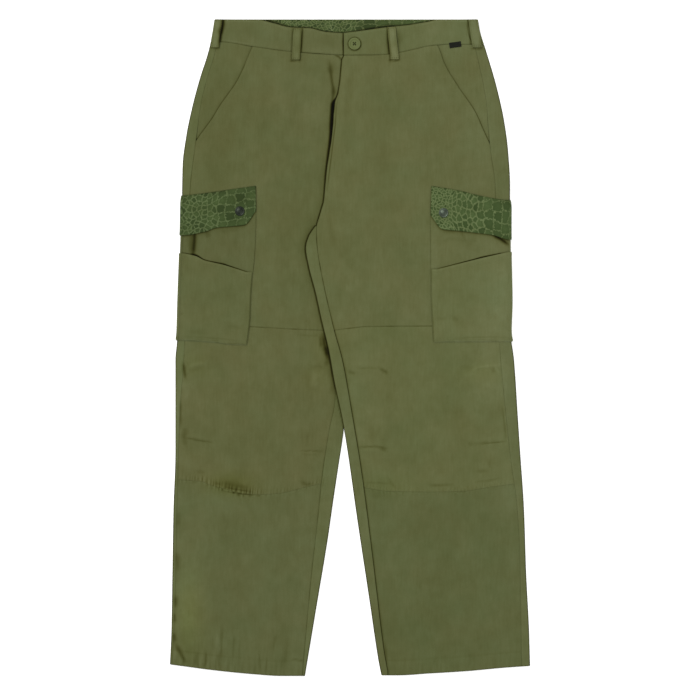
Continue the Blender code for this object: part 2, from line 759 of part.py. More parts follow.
def moved_down(line, distance):
    return [(reach, drop + distance) for reach, drop in line]


def pocket_pieces(side):
    """The pocket, the slip pocket on it, and the flap over both."""
    pocket = POCKETS[side]
    pocket_layer(
        "cargo_pocket_" + side, side,
        moved_down(pocket["flap_top"], POCKET_START), pocket["pocket_bottom"],
        FLAP_LAY[:1], POCKET_CLOTH, 0.0, OLIVE, spread(0, 1, POCKET_ROWS),
    )
    pocket_layer(
        "slip_pocket_" + side, side,
        pocket["slip_top"], moved_down(pocket["pocket_bottom"], -SLIP_INSET),
        FLAP_LAY[-1:], SLIP_CLOTH, SLIP_INSET, OLIVE, spread(0, 1, SLIP_ROWS),
    )
    pocket_layer(
        "cargo_flap_" + side, side,
        pocket["flap_top"], pocket["flap_bottom"],
        FLAP_LAY, FLAP_CLOTH, 0.0, PRINT_GREEN, FLAP_SHARES,
    )


def belt_loop(name):
    """A strip sewn at both ends that stands a little off the waistband between them."""
    side, top_x, top_drop, bottom_x, bottom_drop, width = BELT_LOOPS[name]
    outer, inner = [], []
    for share in spread(0, 1, LOOP_STEPS):
        drop = mix(top_drop, bottom_drop, share)
        middle = mix(top_x, bottom_x, share)
        columns = spread(middle - width / 2, middle + width / 2, 2)
        arch = LOOP_RISE * abs(math.sin(math.pi * share)) ** 0.7
        z = max(carrier_height(side, x, drop) for x in columns) + SEAM + arch
        outer.append([world(x, drop, z + LOOP_CLOTH) for x in columns])
        inner.append([world(x, drop, z) for x in columns])
    cloth_sheet(name, outer, inner, OLIVE)


def carrier_height(side, x, drop):
    """Top face of what lies there: the waistband down to just past its seam, then the front."""
    if drop < curve(LEVELS[side]["waist"], x) + 2:
        return curve(BAND_HEIGHTS[side], x)
    return top_height(side, x, drop)


def turned(name, profile, centre, segments, finish, lean=(0.0, 0.0)):
    """A round piece from a half profile of (radius, height) rows, on the axis at both ends.

    It leans with the cloth under it, by so much height per step along x and down.
    """
    builder = bmesh.new()
    x, drop, base = centre
    rings = []
    for radius, height in profile:
        if radius == 0:
            rings.append([builder.verts.new(world(x, drop, base + height))])
            continue
        ring = []
        for step in range(segments):
            angle = 2 * math.pi * step / segments
            along, down = radius * math.cos(angle), -radius * math.sin(angle)
            z = base + height + lean[0] * along + lean[1] * down
            ring.append(builder.verts.new(world(x + along, drop + down, z)))
        rings.append(ring)
    for lower, upper in zip(rings, rings[1:]):
        for step in range(segments):
            ahead = (step + 1) % segments
            corners = [lower[step % len(lower)], lower[ahead % len(lower)]]
            corners += [upper[ahead % len(upper)], upper[step % len(upper)]]
            distinct = list(dict.fromkeys(corners))
            builder.faces.new(distinct)
    return add_object(name, builder, finish)


def waist_button():
    """Four-hole button with a raised rim, on the left half's waistband."""
    x, drop = BUTTON_AT
    base = curve(BAND_HEIGHTS["left"], x) + SEAM
    button = turned(
        "waist_button", BUTTON_PROFILE, (x, drop, base), BUTTON_SEGMENTS, BUTTON_OLIVE,
    )
    cutter_mesh = bpy.data.meshes.new("button_holes_cutter")
    builder = bmesh.new()
    for turn in (45, 135, 225, 315):
        hole_x = x + HOLE_CIRCLE * math.cos(math.radians(turn))
        hole_drop = drop + HOLE_CIRCLE * math.sin(math.radians(turn))
        rings = []
        for depth in HOLE_DEPTHS:
            ring = []
            for step in range(HOLE_SEGMENTS):
                around = 2 * math.pi * step / HOLE_SEGMENTS
                rim_x = hole_x + HOLE_RADIUS * math.cos(around)
                rim_drop = hole_drop - HOLE_RADIUS * math.sin(around)
                ring.append(builder.verts.new(world(rim_x, rim_drop, base + depth)))
            rings.append(ring)
        low, high = rings
        builder.faces.new(low)
        builder.faces.new(high)
        for step in range(HOLE_SEGMENTS):
            ahead = (step + 1) % HOLE_SEGMENTS
            builder.faces.new((low[step], low[ahead], high[ahead], high[step]))
    bmesh.ops.recalc_face_normals(builder, faces=builder.faces)
    builder.to_mesh(cutter_mesh)
    builder.free()
    cutter = bpy.data.objects.new("button_holes_cutter", cutter_mesh)
    bpy.context.scene.collection.objects.link(cutter)
    cutter.hide_render = True
    cutter.display_type = "WIRE"
    cut = button.modifiers.new("holes", "BOOLEAN")
    cut.operation = "DIFFERENCE"
    cut.object = cutter


def snap_cap(side):
    """Domed cap of the flap's press stud."""
    x, drop = SNAPS_AT[side]
    rim = max(radius for radius, _ in SNAP_PROFILE)
    left, right = (top_height(side, x + step, drop) for step in (-rim, rim))
    above, below = (top_height(side, x, drop + step) for step in (-rim, rim))
    cloth = max(top_height(side, x, drop), (left + right) / 2, (above + below) / 2)
    base = cloth + FLAP_LAY[-1][1] + FLAP_CLOTH + SEAM
    lean = ((right - left) / (2 * rim), (below - above) / (2 * rim))
    turned("snap_cap_" + side, SNAP_PROFILE, (x, drop, base), SNAP_SEGMENTS, GUNMETAL, lean)


def waist_tab():
    """Small plain folded tab caught in the waistband's lower seam."""
    x, drop = TAB_AT
    width, depth, thickness = TAB_SIZE
    base = curve(BAND_HEIGHTS["left"], x) + SEAM
    turn = math.radians(TAB_TURN)
    outer, inner = [], []
    for down in (-depth / 2, depth / 2):
        outer_row, inner_row = [], []
        for along in spread(-width / 2, width / 2, 3):
            place_x = x + along * math.cos(turn) + down * math.sin(turn)
            place_drop = drop - along * math.sin(turn) + down * math.cos(turn)
            outer_row.append(world(place_x, place_drop, base + thickness))
            inner_row.append(world(place_x, place_drop, base))
        outer.append(outer_row)
        inner.append(inner_row)
    cloth_sheet("waist_tab", outer, inner, TAB_BLACK)


def clear_scene():
    for old in list(bpy.data.objects):
        bpy.data.objects.remove(old)


def build():
    clear_scene()
    for side in ("right", "left"):
        front_piece("front_thigh_" + side, side, ("hip", "thigh"), front_edge_x, inseam_x)
        front_piece("knee_panel_" + side, side, ("knee",), outseam_x, inseam_x)
        front_piece("shin_panel_" + side, side, ("shin",), outseam_x, inseam_x, last_nudge=0.0)
        back_piece(side)
        hip_piece(side)
        waistband(side)
        pocket_pieces(side)
        snap_cap(side)
    waistband_facing()
    fly_zip()
    for name in BELT_LOOPS:
        belt_loop(name)
    waist_button()
    waist_tab()


build()
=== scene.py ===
import math

import bmesh
import bpy
import numpy as np
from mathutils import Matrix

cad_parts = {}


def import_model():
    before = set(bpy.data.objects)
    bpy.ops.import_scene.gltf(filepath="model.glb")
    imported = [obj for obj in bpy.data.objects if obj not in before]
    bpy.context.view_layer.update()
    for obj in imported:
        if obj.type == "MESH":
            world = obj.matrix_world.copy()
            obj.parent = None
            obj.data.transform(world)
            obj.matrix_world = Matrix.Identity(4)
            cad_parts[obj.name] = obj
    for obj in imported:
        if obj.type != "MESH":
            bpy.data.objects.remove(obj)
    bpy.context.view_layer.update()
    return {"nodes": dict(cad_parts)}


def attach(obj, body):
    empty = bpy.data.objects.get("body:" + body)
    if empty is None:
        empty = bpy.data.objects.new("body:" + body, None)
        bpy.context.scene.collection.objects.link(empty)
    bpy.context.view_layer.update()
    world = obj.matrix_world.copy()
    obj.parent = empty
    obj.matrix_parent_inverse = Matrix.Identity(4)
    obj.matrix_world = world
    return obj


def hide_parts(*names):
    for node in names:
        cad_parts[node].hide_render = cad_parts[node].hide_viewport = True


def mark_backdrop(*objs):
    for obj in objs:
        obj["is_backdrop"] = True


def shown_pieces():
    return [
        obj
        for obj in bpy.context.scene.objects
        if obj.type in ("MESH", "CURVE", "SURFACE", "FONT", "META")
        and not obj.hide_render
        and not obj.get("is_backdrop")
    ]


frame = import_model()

# Cargo pants laid flat: fine cloth, print, sewing and fittings over the frame's solids.
# Lengths are in millimetres: x to the wearer's left, "drop" down from the waistband's top edge,
# and z up from the surface that the pants lie on.

print("frame loaded")

form = {
    "length": 1050,
    "centreX": 0.8,
    "cloth": 1.2,
    "gap": 0.12,
    "backLap": 0.1,  # no light passes the back's seams
    "hemCloth": 1.9,
    "hemShare": 0.91,
    "edgeHeight": 4.4,
    "edgeClear": 1.2,
    "crown": 1.2,
    "legMiddle": 120,
    # height, and where it fades inwards, begins and ends
    "pocketLift": (2.8, (70, 110), (235, 262), (530, 562)),
    "legLift": (3.5, (48, 95), (306, 331), (680, 750)),
    "innerFade": (50, 100),
    "foldFade": (4, 16),
    "crotch": 331,
}
halfGap = form["gap"] / 2
sides = ("right", "left")
stretches = {
    "hip": ("waist", "crotch"),
    "thigh": ("crotch", "thighSeam"),
    "knee": ("thighSeam", "kneeSeam"),
    "shin": ("kneeSeam", "hem"),
}

# Lengthwise lines of the cut, as (drop, x) rows
centreFront = (
    (36, -9), (58, -9), (65, -12), (98, -15), (117, -18), (134, -23.5), (181, -27.5), (245, -37),
    (290, -41), (303, -44.6), (318, -49.2), (331, -52.8),
)
centreBack = (
    (0, -3), (130, -6), (200, -15), (260, -30), (290, -40), (303, -44.6), (318, -49.2),
    (331, -52.8),
)
rightLines = {
    "outer": (
        (0, -216), (19, -219), (45, -224), (66, -230), (90, -238), (138, -251), (186, -261),
        (234, -267), (282, -267.8), (330, -268.6), (378, -270), (450, -272.6), (498, -274),
        (522, -276.4), (546, -278.4), (690, -278.4), (786, -281.6), (882, -283.2), (978, -284.8),
        (1032, -287.2),
    ),
    "outseam": (
        (35, -212), (53, -215.2), (98, -228.8), (140, -238.4), (187, -244.8), (210, -248),
        (264, -254.4), (400, -260), (500, -263), (554, -265.6), (610, -270), (770, -276),
        (930, -279), (1032, -284),
    ),
    "slash": (
        (36, -152), (49, -157.8), (76, -168.8), (102, -181.8), (133, -203.7), (162, -222),
        (188, -241), (210, -256), (250, -284),
    ),
    "inseam": (
        (331, -52.8), (347, -54), (365, -52), (403, -46), (494, -33), (547, -27), (603, -22.9),
        (660, -33), (726, -43.2), (795, -50.4), (896, -61.6), (984, -69.8), (1032, -74),
        (1050, -75.5),
    ),
    "inner": (
        (331, -50.2), (347, -46), (365, -40), (395, -28.8), (438, -17.6), (482, -10.4), (530, -6.4),
        (594, -5.6), (642, -8), (666, -10.4), (714, -17.6), (762, -24.8), (834, -35.2),
        (930, -51.2), (1026, -67.2), (1050, -71.2),
    ),
}
leftLines = {
    "outer": (
        (0, 205.6), (19, 208.8), (45, 216.8), (66, 223.2), (90, 230.4), (114, 236.8), (162, 247.2),
        (210, 253.6), (264, 256.6), (330, 256.4), (378, 256.6), (450, 258), (498, 256.6),
        (522, 260), (546, 263.2), (642, 269.6), (690, 272.8), (786, 279.2), (882, 282.4),
        (978, 287.2), (1034, 288.8),
    ),
    "outseam": (
        (35, 199), (47, 201.6), (98, 212.8), (136, 219.2), (171, 221.9), (210, 225.6), (264, 232.8),
        (400, 236), (530, 240.8), (610, 248), (715, 259.2), (770, 267.2), (846, 272), (925, 273.6),
        (1035, 275.2),
    ),
    "slash": (
        (36, 138), (47, 143), (74, 153.3), (108, 173.8), (147, 200.2), (178, 214.4), (200, 224.6),
        (215, 232), (250, 250),
    ),
    "inseam": (
        (331, -52.8), (347, -53), (370, -51.2), (403, -45.8), (494, -25.6), (547, -11.2),
        (613, 0.8), (728, 19.7), (867, 37.6), (1010, 55), (1043, 60.8),
    ),
    "inner": (
        (331, -55.4), (347, -65.6), (365, -70.4), (395, -65.6), (438, -54.4), (482, -44.8),
        (528, -33.6), (578, -24.8), (642, -11.2), (690, -3.2), (786, 10.4), (930, 32), (1026, 46.4),
        (1050, 51.2),
    ),
}
legLines = {"right": rightLines, "left": leftLines}

# Crosswise lines of the cut, as (x, drop) rows
rightLevels = {
    "bandTop": (
        (-216, 0), (-145, 0.8), (-121, 6.4), (-94, 12.8), (-66, 14), (-38, 20), (-9, 22), (30, 22),
    ),
    "waist": (
        (-226, 35), (-205, 36), (-158, 43), (-121, 48.5), (-94, 51.5), (-38, 55.5), (-9, 57),
        (30, 57),
    ),
    "waistBack": ((-226, 35), (-205, 36), (0, 36)),
    "crotch": ((-280, 331), (0, 331)),
    "thighSeam": ((-277, 486), (-160, 491.4), (-88, 495.5), (-8, 498.5)),
    "kneeSeam": (
        (-279, 736), (-237, 739), (-222, 745), (-195, 752), (-167, 759.5), (-139, 759.7),
        (-112, 758), (-66, 747), (-24, 739),
    ),
    "hem": ((-287, 1031.6), (-215, 1041), (-149, 1047.5), (-109, 1050), (-71, 1050)),
}
leftLevels = {
    "bandTop": ((-9, 22), (19, 18.6), (55, 13.4), (92, 9.4), (123, 4.3), (139, 0.8), (206, 0)),
    "waist": (
        (-20, 57.5), (21, 57.3), (59, 56.3), (84, 52.3), (102, 48.2), (133, 42), (162, 40),
        (217, 41),
    ),
    "waistBack": ((0, 36), (162, 40), (217, 41)),
    "crotch": ((-60, 331), (280, 331)),
    "thighSeam": ((-45, 499), (-24, 497), (0, 494.2), (31, 491.2), (131, 490.6), (261, 492)),
    "kneeSeam": (
        (5, 744), (27, 749.3), (62, 754.7), (130, 755.7), (173, 755.2), (225, 748), (277, 741),
    ),
    "hem": ((51, 1049), (77, 1049), (128, 1046), (190, 1042), (251, 1036.5), (289, 1034)),
}
crossLevels = {"right": rightLevels, "left": leftLevels}
innerHeights = {
    "right": ((58, 3.6), (303, 3.6), (331, 3.2), (680, 3.2), (750, 4.4)),
    "left": ((58, 6.2), (303, 6.2), (331, 3.2), (680, 3.2), (750, 4.4)),
}
underlap = ((58, 10), (230, 10), (262, 5), (285, 3), (303, 0), (331, 0))

# Large soft folds: x, drop, length, turn from crosswise, half width and height
folds = {
    "right": (
        (-243, 548, 44, -4, 9, 0.9),
        (-240, 704, 56, -10, 10, 0.9),
        (-40, 715, 44, -2, 10, -0.8),
        (-60, 560, 60, 60, 14, 0.6),
        (-120, 135, 120, 68, 22, 0.7),
        (-92, 300, 70, 30, 18, -0.7),
        (-140, 640, 120, 80, 26, -0.6),
        (-200, 880, 190, 84, 22, 0.7),
        (-105, 900, 210, 97, 20, -0.7),
    ),
    "left": (
        (26, 560, 62, 0, 9, 0.9),
        (46, 683, 52, -3, 10, 0.8),
        (222, 556, 46, 8, 9, 0.9),
        (232, 682, 54, 8, 10, 0.8),
        (60, 180, 150, 110, 24, 0.7),
        (56, 380, 100, 140, 18, -0.7),
        (130, 620, 120, 95, 26, -0.6),
        (115, 880, 210, 82, 22, 0.7),
        (210, 900, 190, 94, 20, -0.7),
    ),
}

# Creases, puckers and soft drapes placed one by one, each on the layer that shows it:
# half width, height, painted shade (below 0, painted highlight) and the line's points as (x, drop)
rightLegCreases = (
    # fold beside the fly
    (3, -1, 0.8, (-32, 66), (-29, 92), (-24, 124)),
    (2.6, -1.1, 0.62, (-25, 107), (-27, 131), (-29, 149)),
    # shade at the belt loops' lower ends
    (1.4, -0.2, 0.75, (-96, 66), (-76, 66)),
    (1.5, -0.2, 0.8, (-80, 53), (-79, 69)),
    (1.2, -0.2, 0.55, (-93, 53), (-93, 69)),
    (1.4, -0.2, 0.7, (-226, 47), (-206, 47)),
    # crease under the band's end
    (1.3, -0.5, 0.75, (-24, 57), (-17, 60), (-10, 67)),
    # soft drape
    (12, 0.6, -0.03, (-50, 75), (-43, 130), (-50, 210)),
    (16, -0.5, 0.04, (-139, 75), (-146, 146), (-130, 226)),
    (7, -0.5, 0.07, (-198, 82), (-216, 123)),
    (13, 0.5, -0.03, (-174, 130), (-187, 210), (-181, 258)),
    (14, -0.5, 0.04, (-78, 274), (-94, 338), (-104, 450)),
    (12, 0.5, -0.03, (-126, 370), (-133, 466)),
    (10, -0.4, 0.04, (-78, 378), (-70, 450), (-50, 498)),
    # outer dart above the knee
    (2.6, -1.1, 0.7, (-266, 549), (-262, 575)),
    (4.5, -0.5, 0.26, (-263, 652), (-262, 668)),
    (4, 1, -0.24, (-259, 558), (-250, 553), (-229, 549)),
    (3, -0.5, 0.1, (-254, 563), (-235, 558)),
    (6, 0.7, -0.17, (-264, 578), (-260, 592), (-263, 610)),
    # outseam pulled in at the knee
    (2, -0.7, 0.42, (-270, 606), (-270, 654)),
    # outer dart below the knee
    (1.3, -0.6, 0.42, (-266, 668), (-243, 673), (-218, 677)),
    (3.2, -0.7, 0.32, (-266, 661), (-264, 674), (-261, 683)),
    (3, 0.5, -0.08, (-259, 665), (-238, 669), (-219, 671)),
    (8, 0.6, -0.08, (-267, 690), (-258, 709), (-245, 728)),
    # inner pucker above the knee
    (4, 0.9, -0.12, (-64, 565), (-51, 570), (-42, 563)),
    (3, -0.6, 0.14, (-62, 557), (-50, 555), (-37, 558)),
    (5, 0.8, -0.2, (-58, 569), (-57, 582), (-50, 588)),
    (3, -0.8, 0.3, (-38, 546), (-35, 555)),
    # the cloth buckles where the left leg starts to cover it
    (2.8, -1.1, 0.95, (-43, 503), (-40, 519), (-37, 532), (-33, 549)),
    (4.2, -0.7, 0.85, (-38, 522), (-34, 538)),
    (3, -0.7, 0.5, (-47, 506), (-45, 526)),
    (5.5, -0.5, 0.3, (-41, 500), (-38, 516)),
    (4.6, -0.6, 0.36, (-31, 552), (-27, 574), (-23, 602)),
    (1.6, -0.3, 0.16, (-84, 505), (-62, 506), (-44, 507)),
    # inner dart below the knee
    (1.2, -0.5, 0.34, (-80, 690), (-61, 690), (-42, 691)),
    (1.6, 0.3, 0.14, (-80, 695), (-50, 696)),
    (1.8, -0.3, 0.18, (-66, 659), (-68, 674), (-69, 686)),
    # gathers pulled hard into the knee seam
    (1.5, -0.6, 0.6, (-201, 748), (-180, 752), (-155, 756)),
    (1.3, -0.6, 0.5, (-203, 754), (-180, 758), (-150, 761)),
    (4.6, -0.8, 0.42, (-203, 741), (-188, 745), (-160, 750)),
    (2.6, -0.5, 0.3, (-217, 741), (-204, 744)),
    (2.2, -0.7, 0.38, (-78, 739), (-69, 744), (-59, 743)),
    (2.5, -0.6, 0.22, (-232, 725), (-245, 722)),
    (16, -0.5, 0.05, (-166, 658), (-158, 690), (-168, 722)),
    (12, -0.5, 0.05, (-102, 674), (-98, 706)),
    (15, 0.4, -0.02, (-181, 610), (-171, 635)),
    # dents along the outer edge
    (4.5, -0.8, 0.3, (-274, 787), (-273, 811)),
    (4, -0.8, 0.34, (-276, 851), (-274, 885)),
    (3.4, -0.9, 0.55, (-278, 922), (-278, 941)),
    (2.4, -0.8, 0.5, (-280, 950), (-279, 965)),
    (3, -0.9, 0.62, (-281, 981), (-279, 996)),
    # twist at the hem's corner
    (2.8, -1.1, 0.72, (-279, 998), (-271, 1012), (-261, 1031)),
    (5.5, 0.5, -0.16, (-280, 1006), (-277, 1024)),
    (5, 0.5, -0.08, (-268, 1000), (-262, 1012)),
    (13, 0.9, -0.09, (-274, 914), (-261, 949), (-251, 987)),
    (14, 0.6, -0.04, (-245, 818), (-238, 898), (-226, 994)),
    (18, -0.5, 0.04, (-181, 770), (-187, 866), (-178, 962)),
    (16, 0.5, -0.02, (-130, 770), (-139, 866), (-126, 994)),
    (12, -0.5, 0.04, (-94, 770), (-101, 866), (-109, 994)),
    # folds that run down into the hem
    (2, -0.7, 0.38, (-204, 970), (-205, 994), (-206, 1022)),
    (3, 0.5, -0.08, (-211, 985), (-212, 1008)),
    (1.9, -0.7, 0.3, (-184, 984), (-186, 1022)),
    (2, -0.5, 0.18, (-176, 994), (-176, 1038)),
    (2.2, -0.8, 0.42, (-244, 1011), (-246, 1035)),
    (2.6, 0.5, -0.08, (-238, 1010), (-239, 1034)),
    (2.1, -0.8, 0.42, (-229, 1010), (-231, 1037)),
    (1.9, -0.5, 0.18, (-218, 984), (-218, 1013)),
    (1.8, -0.7, 0.3, (-210, 1014), (-208, 1040)),
    (3, 0.6, -0.05, (-194, 1013), (-195, 1040)),
    (1.8, -0.7, 0.3, (-144, 1013), (-143, 1043)),
    (3.2, 0.5, -0.04, (-158, 1010), (-158, 1042)),
    (1.5, -0.5, 0.21, (-133, 1018), (-133, 1045)),
    (2.7, -0.6, 0.21, (-117, 981), (-123, 1010)),
    (2.7, -0.6, 0.23, (-99, 987), (-102, 1018), (-107, 1038)),
    (4, 0.5, -0.05, (-110, 949), (-104, 965)),
    (1, -0.4, 0.32, (-93, 1022), (-78, 1025), (-72, 1029)),
)
rightCargoCreases = (
    # slit where the pocket's side pleat folds in
    (2.7, -1.2, 1.1, (-247, 334), (-248, 356), (-250, 380)),
    (5, 0.3, 0.5, (-252, 338), (-254, 378)),
    # hollow under the flap
    (4.6, -0.7, 0.3, (-229, 338), (-225, 350)),
    (4, -0.2, 0.12, (-214, 341), (-174, 336)),
    (2.6, -1.2, 0.62, (-250, 377), (-242, 382)),
    (8, -0.4, 0.06, (-187, 354), (-168, 370)),
)
rightSlipCreases = (
    (14, -0.4, 0.04, (-229, 434), (-216, 466)),
    (3, -0.3, 0.12, (-197, 491), (-171, 493)),
    (1.1, -0.25, 0.16, (-272, 507), (-240, 509), (-212, 510), (-170, 515)),
    (1.2, -0.1, 0.42, (-196, 519), (-178, 520), (-166, 520)),
    (4, -0.4, 0.12, (-254, 499), (-229, 501)),
    (10, 0.4, -0.02, (-174, 434), (-181, 469)),
    (2, -0.4, 0.22, (-270, 470), (-266, 472)),
)
leftLegCreases = (
    # shade at the belt loops' lower ends
    (1.4, -0.2, 0.75, (62, 66), (83, 66)),
    (1.7, -0.2, 0.85, (65, 52), (65, 69)),
    (1.2, -0.2, 0.4, (80, 54), (80, 67)),
    (1.4, -0.2, 0.6, (193, 47), (216, 47)),
    # edge of the fly facing felt through the cloth
    (1.1, -0.5, 0.7, (-18, 125), (-21, 139), (-23, 171), (-27, 202), (-31, 235), (-36, 274)),
    # soft folds down from the button
    (5, -0.5, 0.1, (11, 66), (2, 98), (-3, 130), (-5, 170)),
    (6, 0.4, -0.03, (22, 69), (26, 104)),
    (4, 0.5, -0.04, (-2, 72), (-9, 114), (-13, 194), (-18, 274)),
    (7, 0.7, -0.05, (-27, 314), (-8, 341)),
    (4, -0.6, 0.1, (-34, 298), (-30, 330), (-21, 370)),
    (5, -0.5, 0.07, (-6, 370), (-13, 382)),
    (15, -0.5, 0.04, (50, 114), (59, 178), (56, 258)),
    (15, 0.5, -0.02, (114, 146), (107, 226)),
    (2.6, 0.5, -0.07, (142, 93), (157, 92)),
    (16, -0.4, 0.03, (82, 290), (88, 386), (78, 466)),
    (14, 0.5, -0.02, (26, 338), (37, 434), (50, 482)),
    (4, -0.4, 0.09, (200, 101), (210, 130), (216, 149)),
    (3, -0.3, 0.07, (202, 178), (206, 210)),
    # inner dart above the knee
    (3, -0.8, 0.3, (-3, 563), (10, 567)),
    (1.5, -0.4, 0.22, (13, 559), (30, 557), (46, 558)),
    (2.4, -1, 0.46, (48, 558), (56, 563), (62, 566)),
    (4, 0.6, -0.05, (5, 552), (37, 550)),
    # outer dart above the knee
    (4.2, -0.6, 0.14, (176, 556), (186, 557), (197, 560)),
    (2, 0.8, -0.16, (194, 562), (208, 556), (226, 554), (246, 553)),
    (4, 0.7, -0.1, (184, 571), (197, 568)),
    (2.4, -0.8, 0.24, (229, 557), (232, 566)),
    (2, 0.7, -0.16, (233, 555), (238, 565)),
    (8, 0.6, -0.08, (222, 578), (229, 597)),
    (8, -0.6, 0.08, (232, 622), (230, 642)),
    (1.6, -0.5, 0.3, (244, 619), (248, 648), (250, 674)),
    # inner dart below the knee
    (1.4, -0.6, 0.42, (14, 684), (40, 683), (62, 686)),
    (3, -0.7, 0.34, (50, 686), (59, 690)),
    (2.4, 0.5, -0.07, (18, 690), (40, 689)),
    (3, -0.4, 0.1, (38, 650), (37, 674)),
    # outer dart below the knee
    (1.4, -0.6, 0.42, (198, 679), (226, 677), (251, 675)),
    (2.4, -0.5, 0.18, (189, 678), (197, 681)),
    (3, 0.5, -0.06, (200, 672), (242, 669)),
    (10, -0.5, 0.08, (120, 686), (130, 696)),
    # gathers pulled into the knee seam
    (2.2, -0.6, 0.2, (62, 733), (67, 742), (76, 751)),
    (1.6, -0.4, 0.22, (24, 741), (66, 742)),
    (2, -0.6, 0.32, (126, 745), (146, 745), (165, 744)),
    (2.6, -0.5, 0.22, (203, 723), (222, 722)),
    (1.5, -0.4, 0.24, (200, 740), (222, 738), (242, 734)),
    (2, -0.4, 0.18, (224, 704), (225, 718)),
    (6, -0.5, 0.1, (37, 760), (46, 766)),
    (9, -0.5, 0.08, (120, 763), (120, 778)),
    (18, 0.5, -0.04, (194, 565), (229, 610)),
    (18, 0.5, -0.02, (82, 770), (94, 866), (88, 978)),
    (18, -0.5, 0.03, (146, 770), (155, 866), (146, 994)),
    (16, 0.5, -0.02, (210, 770), (203, 866), (216, 994)),
    # inseam drawn in at the hem
    (1.2, -0.4, 0.29, (57, 994), (60, 1030)),
    (2, -0.3, 0.09, (88, 1018), (88, 1038)),
    (2, -0.3, 0.08, (139, 1016), (139, 1038)),
    (2, -0.3, 0.09, (194, 1013), (194, 1035)),
    (2, -0.3, 0.09, (242, 1010), (242, 1030)),
)
leftCargoCreases = (
    # gap where the flap's corner lifts off the pocket
    (2.7, -0.7, 1.3, (225, 343), (236, 348), (247, 355), (256, 362)),
    # crease under the flap
    (2.2, -0.7, 0.26, (178, 338), (183, 349), (187, 358)),
    (4, -0.5, 0.13, (144, 357), (162, 351), (176, 353), (186, 360)),
    (4, -0.4, 0.1, (197, 350), (200, 358)),
    # shade under the flap
    (4, -0.4, 0.2, (149, 336), (171, 342)),
)
leftSlipCreases = (
    (14, -0.4, 0.03, (206, 434), (200, 469)),
    (2.4, -0.3, 0.13, (136, 479), (155, 479)),
    (4, -0.5, 0.16, (165, 477), (173, 483)),
    (3, -0.3, 0.08, (238, 406), (248, 406)),
    (10, 0.5, -0.06, (235, 459), (248, 482)),
    (1.1, -0.25, 0.16, (164, 512), (190, 509), (225, 508), (256, 510)),
    (1, -0.1, 0.12, (208, 516), (226, 514), (254, 516)),
)
creases = {
    "right": {"leg": rightLegCreases, "cargo": rightCargoCreases, "slip": rightSlipCreases},
    "left": {"leg": leftLegCreases, "cargo": leftCargoCreases, "slip": leftSlipCreases},
}


# Gathers along the cross seams, as (x, strength) rows
rightGathers = {
    "thighSeam": ((-150, 0.1), (-90, 0.3), (-60, 0.7), (-20, 0.5)),
    "kneeSeam": (
        (-276, 0.3), (-262, 0.6), (-240, 1), (-215, 0.9), (-202, 1.6), (-178, 1.9), (-158, 1.7),
        (-147, 0.8), (-125, 0.5), (-95, 0.5), (-70, 0.5), (-50, 0.8), (-30, 0.4),
    ),
    "hem": (
        (-285, 0.6), (-240, 1.5), (-205, 1.3), (-170, 0.9), (-140, 1.2), (-110, 0.7), (-75, 0.6),
    ),
}
leftGathers = {
    "thighSeam": ((-40, 0.5), (0, 0.6), (60, 0.2), (130, 0.1)),
    "kneeSeam": (
        (5, 0.3), (25, 0.55), (60, 0.4), (95, 0.2), (140, 0.25), (190, 0.5), (230, 0.35),
        (275, 0.2),
    ),
    "hem": ((52, 0.3), (110, 0.5), (190, 0.4), (285, 0.3)),
}
gathers = {"right": rightGathers, "left": leftGathers}
gatherLook = {
    # name: seam, how far above it, reach above and below, spacing, height, painted shade of the
    # dips
    "thigh": ("thighSeam", 0, 9, 7, 7.6, 0.14, 0.05),
    "knee": ("kneeSeam", 0, 12, 9, 7.4, 0.24, 0.07),
    "kneeTicks": ("kneeSeam", -2, 2.6, 2.4, 4.1, 0.09, 0.25),
    "kneeRow": ("kneeSeam", 4, 4.2, 3.8, 4.6, 0.1, 0.25),
    "hem": ("hem", 4, 17, 14, 9.5, 0.3, 0.1),
}
drapeLook = {
    "broad": 0.5,
    "middle": 0.24,
    "fine": 0.06,
    "mottle": 0.035,
    # how strongly the creases' painted shade darkens the cloth
    "creaseShade": 0.75,
}


def curve(table, places):
    # smooth values between a table's rows, without overshoot
    rows = np.array(table, float)
    places = np.asarray(places, float)
    if len(rows) == 1:
        return np.full(places.shape, rows[0, 1])
    xs, ys = rows.T
    steps = np.diff(ys) / np.diff(xs)
    slopes = np.concatenate((steps[:1], np.zeros(len(xs) - 2), steps[-1:]))
    before, after = steps[:-1], steps[1:]
    same = before * after > 0
    total = np.where(same, before + after, 1)
    slopes[1:-1] = np.where(same, 2 * before * after / total, 0)
    held = np.clip(places, xs[0], xs[-1])
    i = np.clip(np.searchsorted(xs, held) - 1, 0, len(xs) - 2)
    span = xs[i + 1] - xs[i]
    t = (held - xs[i]) / span
    return (
        ys[i] * (2 * t**3 - 3 * t**2 + 1)
        + slopes[i] * span * (t**3 - 2 * t**2 + t)
        + ys[i + 1] * (3 * t**2 - 2 * t**3)
        + slopes[i + 1] * span * (t**3 - t**2)
    )


def mix(a, b, share):
    return a + (b - a) * share


def rise(value, start, end):
    # soft step from 0 to 1
    t = np.clip((value - start) / (end - start), 0, 1)
    return t * t * (3 - 2 * t)


def fall(value, start, end):
    return 1 - rise(value, start, end)


def bell(distance, width):
    return np.exp(-(distance / width) ** 2)


def shadeAt(distance, dark, width):
    # light left by a soft line of painted shade; the tables give its darkness and width
    return 1 - dark * bell(distance, width)


def outward(side):
    # way in x from the middle to the leg's outer edge
    return 1 if side == "left" else -1


def outerX(side, drop):
    return curve(legLines[side]["outer"], drop)


def legInnerX(side, drop):
    return curve(legLines[side]["inner"], drop)


def frontRiseX(side, drop):
    return curve(centreFront, drop)


def backRiseX(side, drop):
    return curve(centreBack, drop)


def innerX(side, drop):
    return np.where(drop < form["crotch"], frontRiseX(side, drop), legInnerX(side, drop))


